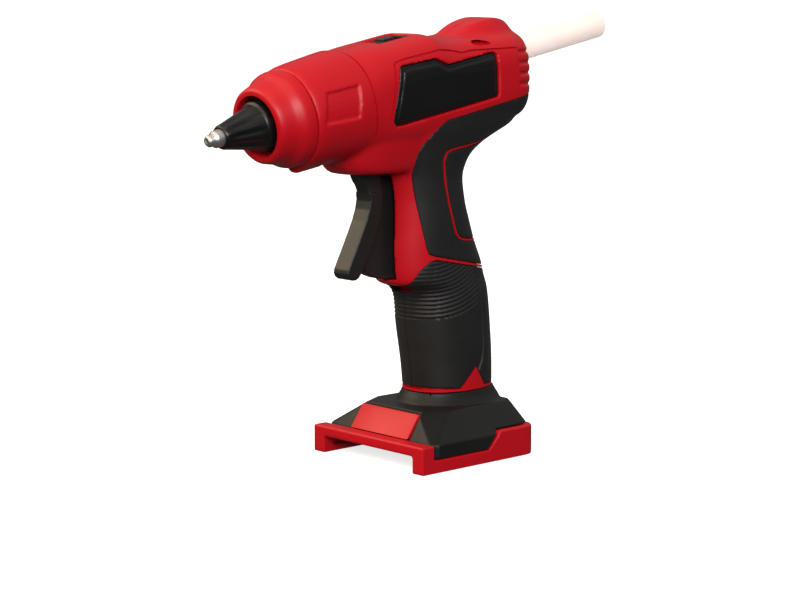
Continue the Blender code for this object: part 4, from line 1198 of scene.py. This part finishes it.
# ---- battery foot ------------------------------------------------------------------------------------
@dataclass
class BatteryFoot:
    """Red rail frame, black cover and the contacts for a slide-on battery."""

    front: float = -31.3
    rear: float = 35.0
    half: float = 33.5
    corner: float = 7.0
    corner_steps: int = 8
    screw_places: Sequence[tuple[float, float]] = ((-16.0, -30.2), (-16.0, 30.2), (20.0, -30.2), (20.0, 30.2))
    # z, half length, half width of the collar round the handle's foot
    collar: Rings = Rings(((14.0, 20.0, 19.8), (17.8, 20.4, 20.2), (20.0, 21.6, 20.2), (21.8, 22.8, 19.4),
                           (24.0, 22.0, 17.4), (26.7, 20.7, 16.2)))
    collar_x: float = 14.4
    screw_top: float = 11.0

    def plan(self, low: float, high: float) -> bmesh.types.BMesh:
        """Make the foot's plan with its rear corners rounded."""
        bm = block((self.front, self.rear), (-self.half, self.half), (low, high))
        upright = [e for e in bm.edges if abs(e.verts[0].co.z - e.verts[1].co.z) > 1
                   and e.verts[0].co.x > self.rear - 1]
        rounded(bm, upright, self.corner, self.corner_steps)
        return bm

    def red_zone(self, gap: float) -> bmesh.types.BMesh:
        """Make the cutter for the low front and the high rear of the red frame."""
        step = ((6.6 - gap, 5.2), (13.0 - gap, 12.1 + gap))
        return prism(((step[0][0], -2.0), step[0], step[1], (60.0, 12.1 + gap), (60.0, -2.0)), -40.0, 40.0)

    def build_base(self) -> None:
        """Build the red frame with its rails."""
        base = cut(
            self.plan(0.0, 12.4),
            prism(((-24.6, 5.2), (6.6, 5.2), (13.0, 12.1), (13.0, 30.0), (-24.6, 30.0)), -40.0, 40.0),
            block((-60.0, -20.0), (-40.0, 40.0), (11.4, 40.0)),
            block((-60.0, 27.0), (-27.0, 27.0), (-5.0, 7.0)),
            block((-24.6, 27.0), (-27.0, 27.0), (5.0, 40.0)),
            block((-24.0, 27.5), (-30.0, 30.0), (7.6, 40.0)),
            *[block((-26.0, 27.0), (side * 26.0 - 3.4, side * 26.0 + 3.4), (2.6, 4.4)) for side in (-1, 1)],
        )
        base = moulded(base, 0.5, 3)
        holes = [rod(Vector((x, y, -2.0)), Vector((x, y, 3.2)), 2.7, 32) for x, y in self.screw_places]
        holes += [rod(Vector((x, y, 2.8)), Vector((x, y, self.screw_top + 0.3)), 1.5, 24)
                  for x, y in self.screw_places]
        finish_piece("rail_frame", cut(base, *holes), SHELL_RED, Body.GUN, ["foot_base"])

    def build_cover(self) -> None:
        """Build the black cover with its sloping facets and the collar round the handle."""
        low = ((-24.2, -30.0), (-21.8, -33.0), (28.0, -33.0), (32.4, -31.2), (34.4, -27.4), (34.4, 27.4),
               (32.4, 31.2), (28.0, 33.0), (-21.8, 33.0), (-24.2, 30.0))
        top = ((-17.4, -16.0), (-5.0, -22.0), (27.0, -21.5), (30.4, -20.4), (32.4, -17.6), (32.4, 17.6),
               (30.4, 20.4), (27.0, 21.5), (-5.0, 22.0), (-17.4, 16.0))

        bm = bmesh.new()
        levels = ((low, 5.5), (low, 11.0), (top, 21.5))
        rings = [[bm.verts.new((x, y, z)) for x, y in plan] for plan, z in levels]
        for ring in rings:
            for pair in zip(ring, ring[1:] + ring[:1]):
                bm.edges.new(pair)
        bm.edges.ensure_lookup_table()
        for lower, upper in zip(rings, rings[1:]):
            loops = [e for e in bm.edges if all(v in lower or v in upper for v in e.verts)]
            bmesh.ops.bridge_loops(bm, edges=loops)
        bmesh.ops.holes_fill(bm, edges=bm.edges, sides=0)
        bmesh.ops.recalc_face_normals(bm, faces=bm.faces)

        def place(round_share: float, along_share: float) -> Vector:
            """Give the point at a share round and a share along."""
            z, semi, half = self.collar.at(along_share)
            x, y = superellipse(round_share, semi, half, 2.2)
            return Vector((self.collar_x + x, y, z))

        slope = ((-26.0, 11.4), (-22.6, 11.4), (-16.2, 20.1), (-17.0, 30.0), (-26.0, 30.0))
        pocket = prism(slope, -17.3, 17.3)
        cover = cut(joined(bm, tube(96, 30, place)), self.red_zone(0.5), pocket,
                    block((-60.0, 27.0), (-27.3, 27.3), (-5.0, 7.3)))
        cover = moulded(cover, 0.5, 3)
        cover = cut(cover, block((-4.0, 26.0), (-9.0, 9.0), (0.0, 40.0)),
                    block((-60.0, 60.0), (-40.0, 40.0), (26.6, 40.0)),
                    *[rod(Vector((x, y, -2.0)), Vector((x, y, self.screw_top + 0.3)), 1.5, 24)
                      for x, y in self.screw_places])
        finish_piece("cover_moulding", cover, FOOT_BLACK, Body.GUN, ["foot_cover"])

    def build_plaque(self) -> None:
        """Build the plain red plaque on the front slope."""
        plate = prism(((-25.2, 11.5), (-23.0, 11.5), (-16.5, 20.3), (-18.3, 21.0)), -17.2, 17.2, edge=0.45)
        finish_piece("plain_plaque", plate, SHELL_RED, Body.GUN, ["front_plaque"])

    def build_contacts(self) -> None:
        """Build the contact block and its three blades."""
        holder = block((8.0, 26.0), (-13.0, 13.0), (1.6, 6.6), edge=0.5)
        for y in (-9.0, -3.0, 3.0, 9.0):
            holder = cut(holder, block((0.0, 12.4), (y - 0.9, y + 0.9), (2.6, 5.8)))
        finish_piece("contact_holder", holder, FOOT_BLACK, Body.GUN, ["contact_block"])
        for number, y in enumerate((-9.0, -3.0, 9.0), 1):
            blade = block((-1.0, 12.0), (y - 0.4, y + 0.4), (3.0, 5.4), edge=0.15)
            finish_piece(f"contact_spring_{number}", blade, BRASS, Body.GUN,
                         [f"contact_blade_{number}"])

    def build(self) -> None:
        """Build the whole foot."""
        self.build_base()
        self.build_cover()
        self.build_plaque()
        self.build_contacts()
        for number, (x, y) in enumerate(self.screw_places, 1):
            shape = joined(rod(Vector((x, y, 3.0)), Vector((x, y, 1.4)), 2.4, 48, edge=0.3),
                           rod(Vector((x, y, self.screw_top)), Vector((x, y, 2.5)), 1.2, 24))
            slot = block((x - 1.5, x + 1.5), (y - 0.35, y + 0.35), (0.5, 2.1))
            cross = block((x - 0.35, x + 0.35), (y - 1.5, y + 1.5), (0.5, 2.1))
            finish_piece(f"rail_screw_{number}", cut(shape, slot, cross), SCREW_METAL, Body.GUN,
                         [f"foot_screw_{number}"])


# ---- what stays as the CAD made it -------------------------------------------------------------------
@dataclass
class InnerWorks:
    """Pieces inside the shell, whose CAD shapes stay and get their real materials."""

    finishes: dict[str, Finish] = field(default_factory=lambda: {
        "melt_chamber": CHAMBER_METAL, "heater_plate": CERAMIC, "heater_clip": STEEL,
        "chamber_ring_front": MICA, "chamber_ring_rear": MICA, "inlet_sleeve": SLEEVE_BLACK,
        "thermal_sensor": CERAMIC, "control_board": BOARD, "switch_body": FOOT_BLACK,
        "feed_carriage": NYLON_WHITE, "gripper_jaw": STEEL, "gripper_pin": STEEL, "feed_link": STEEL,
        "link_pin_rear": STEEL, "link_pin_front": STEEL, "trigger_pin": STEEL, "trigger_spring": STEEL})

    def dress(self) -> None:
        """Give each node its material."""
        for name, finish in self.finishes.items():
            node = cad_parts[name]
            node.data.materials.clear()
            node.data.materials.append(finish.material())
            LOG.info("%s: %s", name, finish.name)


# ---- camera, light and floor -------------------------------------------------------------------------
@dataclass
class Stage:
    """Camera, soft studio light and a plain pale floor."""

    focal_mm: float = 104.4
    camera_at: tuple[float, float, float] = (-651.6, -693.9, 209.7)
    azimuth_deg: float = 42.63
    pitch_deg: float = 8.68
    floor_radius_m: float = 14.0
    wall_light: float = 0.09
    ceiling_light: float = 0.40
    top_light: float = 0.62
    top_spread_deg: float = 50.0
    top_lean_deg: float = -22.0
    floor_glow: float = 0.75
    aim: tuple[float, float, float] = (0.0, 0.0, 0.11)
    # name, place in metres, side in metres, power in watts, colour
    soft_boxes: tuple[tuple[str, tuple[float, float, float], float, float, str], ...] = (
        ("key", (-0.9, 1.05, 1.0), 1.1, 12.0, "#FFE9C4"),
        ("front", (-1.5, -0.3, 0.9), 0.9, 6.0, "#FFE6C0"),
        ("side", (-1.0, -1.35, 0.8), 0.8, 21.0, "#FFFFFF"))

    def add_camera(self) -> None:
        """Place the camera at the front left, a little above the gun."""
        data = bpy.data.cameras.new("camera")
        data.lens = self.focal_mm
        data.sensor_width = 36.0
        data.clip_end = 40.0
        camera = bpy.data.objects.new("camera", data)
        azimuth, pitch = math.radians(self.azimuth_deg), math.radians(self.pitch_deg)
        look = Vector((math.sin(azimuth) * math.cos(pitch), math.cos(azimuth) * math.cos(pitch),
                       -math.sin(pitch)))
        camera.location = INTO_FRAME @ Vector(self.camera_at)
        camera.rotation_euler = look.to_track_quat("-Z", "Y").to_euler()
        bpy.context.scene.collection.objects.link(camera)
        bpy.context.scene.camera = camera

    def add_light(self, name: str, place: Vector, aim: Vector, size: float, power: float,
                  colour: str) -> None:
        """Hang one soft box.

        Args:
            name: its name.
            place: where it hangs, in metres.
            aim: what it points at.
            size: side of the box, in metres.
            power: its power in watts.
            colour: its colour, as sRGB hex.
        """
        data = bpy.data.lights.new(name, "AREA")
        data.shape = "SQUARE"
        data.size = size
        data.energy = power
        data.color = linear(colour)[:3]
        light = bpy.data.objects.new(name, data)
        light.location = place
        light.rotation_euler = (aim - place).to_track_quat("-Z", "Y").to_euler()
        bpy.context.scene.collection.objects.link(light)

    def add_sun(self) -> None:
        """Add a broad, even light from above that keeps the floor white as far as it reaches."""
        data = bpy.data.lights.new("top", "SUN")
        data.energy = self.top_light
        data.angle = math.radians(self.top_spread_deg)
        data.color = linear("#FFE6BE")[:3]
        light = bpy.data.objects.new("top", data)
        light.rotation_euler = (0.0, math.radians(self.top_lean_deg), 0.0)
        bpy.context.scene.collection.objects.link(light)

    def add_floor(self) -> None:
        """Lay a pale matt floor under the foot."""
        bm = bmesh.new()
        bmesh.ops.create_circle(bm, cap_ends=True, segments=96, radius=self.floor_radius_m)
        mesh = bpy.data.meshes.new("floor")
        bm.to_mesh(mesh)
        bm.free()
        material = bpy.data.materials.new("floor_card")
        material.use_nodes = True
        tree = material.node_tree
        shader = tree.nodes["Principled BSDF"]
        where = add_node(tree, "ShaderNodeTexCoord").outputs["Object"]
        tone = add_node(tree, "ShaderNodeTexNoise", {"Vector": where, "Scale": 1.5, "Detail": 2.0})
        mixed = add_node(tree, "ShaderNodeMix",
                         {0: tone.outputs[0], 6: linear("#F6F6F6"), 7: linear("#FAFAFA")}, data_type="RGBA")
        tree.links.new(mixed.outputs[2], shader.inputs["Base Color"])
        shader.inputs["Roughness"].default_value = 0.9
        shader.inputs["Emission Color"].default_value = (1.0, 1.0, 1.0, 1.0)
        shader.inputs["Emission Strength"].default_value = self.floor_glow
        shader.inputs["Specular IOR Level"].default_value = 0.1
        mesh.materials.append(material)
        floor = bpy.data.objects.new("floor", mesh)
        floor.location.z = -0.0002
        floor.visible_diffuse = False
        floor.visible_glossy = False
        bpy.context.scene.collection.objects.link(floor)

    def add_world(self) -> None:
        """Light from a bright ceiling over darker walls, and show white behind the gun."""
        world = bpy.data.worlds.new("studio")
        bpy.context.scene.world = world
        world.use_nodes = True
        tree = world.node_tree
        background = tree.nodes["Background"]
        where = add_node(tree, "ShaderNodeTexCoord").outputs["Generated"]
        height = add_node(tree, "ShaderNodeSeparateXYZ", {"Vector": where}).outputs["Z"]
        room = add_node(tree, "ShaderNodeMapRange",
                        {"Value": height, "From Min": -0.15, "From Max": 0.85, "To Min": self.wall_light,
                         "To Max": self.ceiling_light}, interpolation_type="SMOOTHSTEP").outputs[0]
        path = add_node(tree, "ShaderNodeLightPath").outputs["Is Camera Ray"]
        strength = add_node(tree, "ShaderNodeMix", {0: path, 2: room, 3: 1.0}, data_type="FLOAT")
        background.inputs["Color"].default_value = (1.0, 1.0, 1.0, 1.0)
        tree.links.new(strength.outputs[0], background.inputs["Strength"])

    def build(self) -> None:
        """Set up the camera, lights, floor and world."""
        self.add_camera()
        for name, place, size, power, colour in self.soft_boxes:
            self.add_light(name, Vector(place), Vector(self.aim), size, power, colour)
        self.add_sun()
        self.add_floor()
        self.add_world()
        bpy.context.scene.view_settings.view_transform = "Standard"


def main() -> None:
    """Build the gun round its frame and report each piece."""
    logging.basicConfig(level=logging.INFO, format="%(name)s: %(message)s")
    Stage().build()
    Housing().build()
    Nozzle().build()
    StickAndInlet().build()
    TriggerLever().build()
    PowerSwitch().build()
    BatteryFoot().build()
    InnerWorks().dress()


if __name__ == "__main__":
    main()
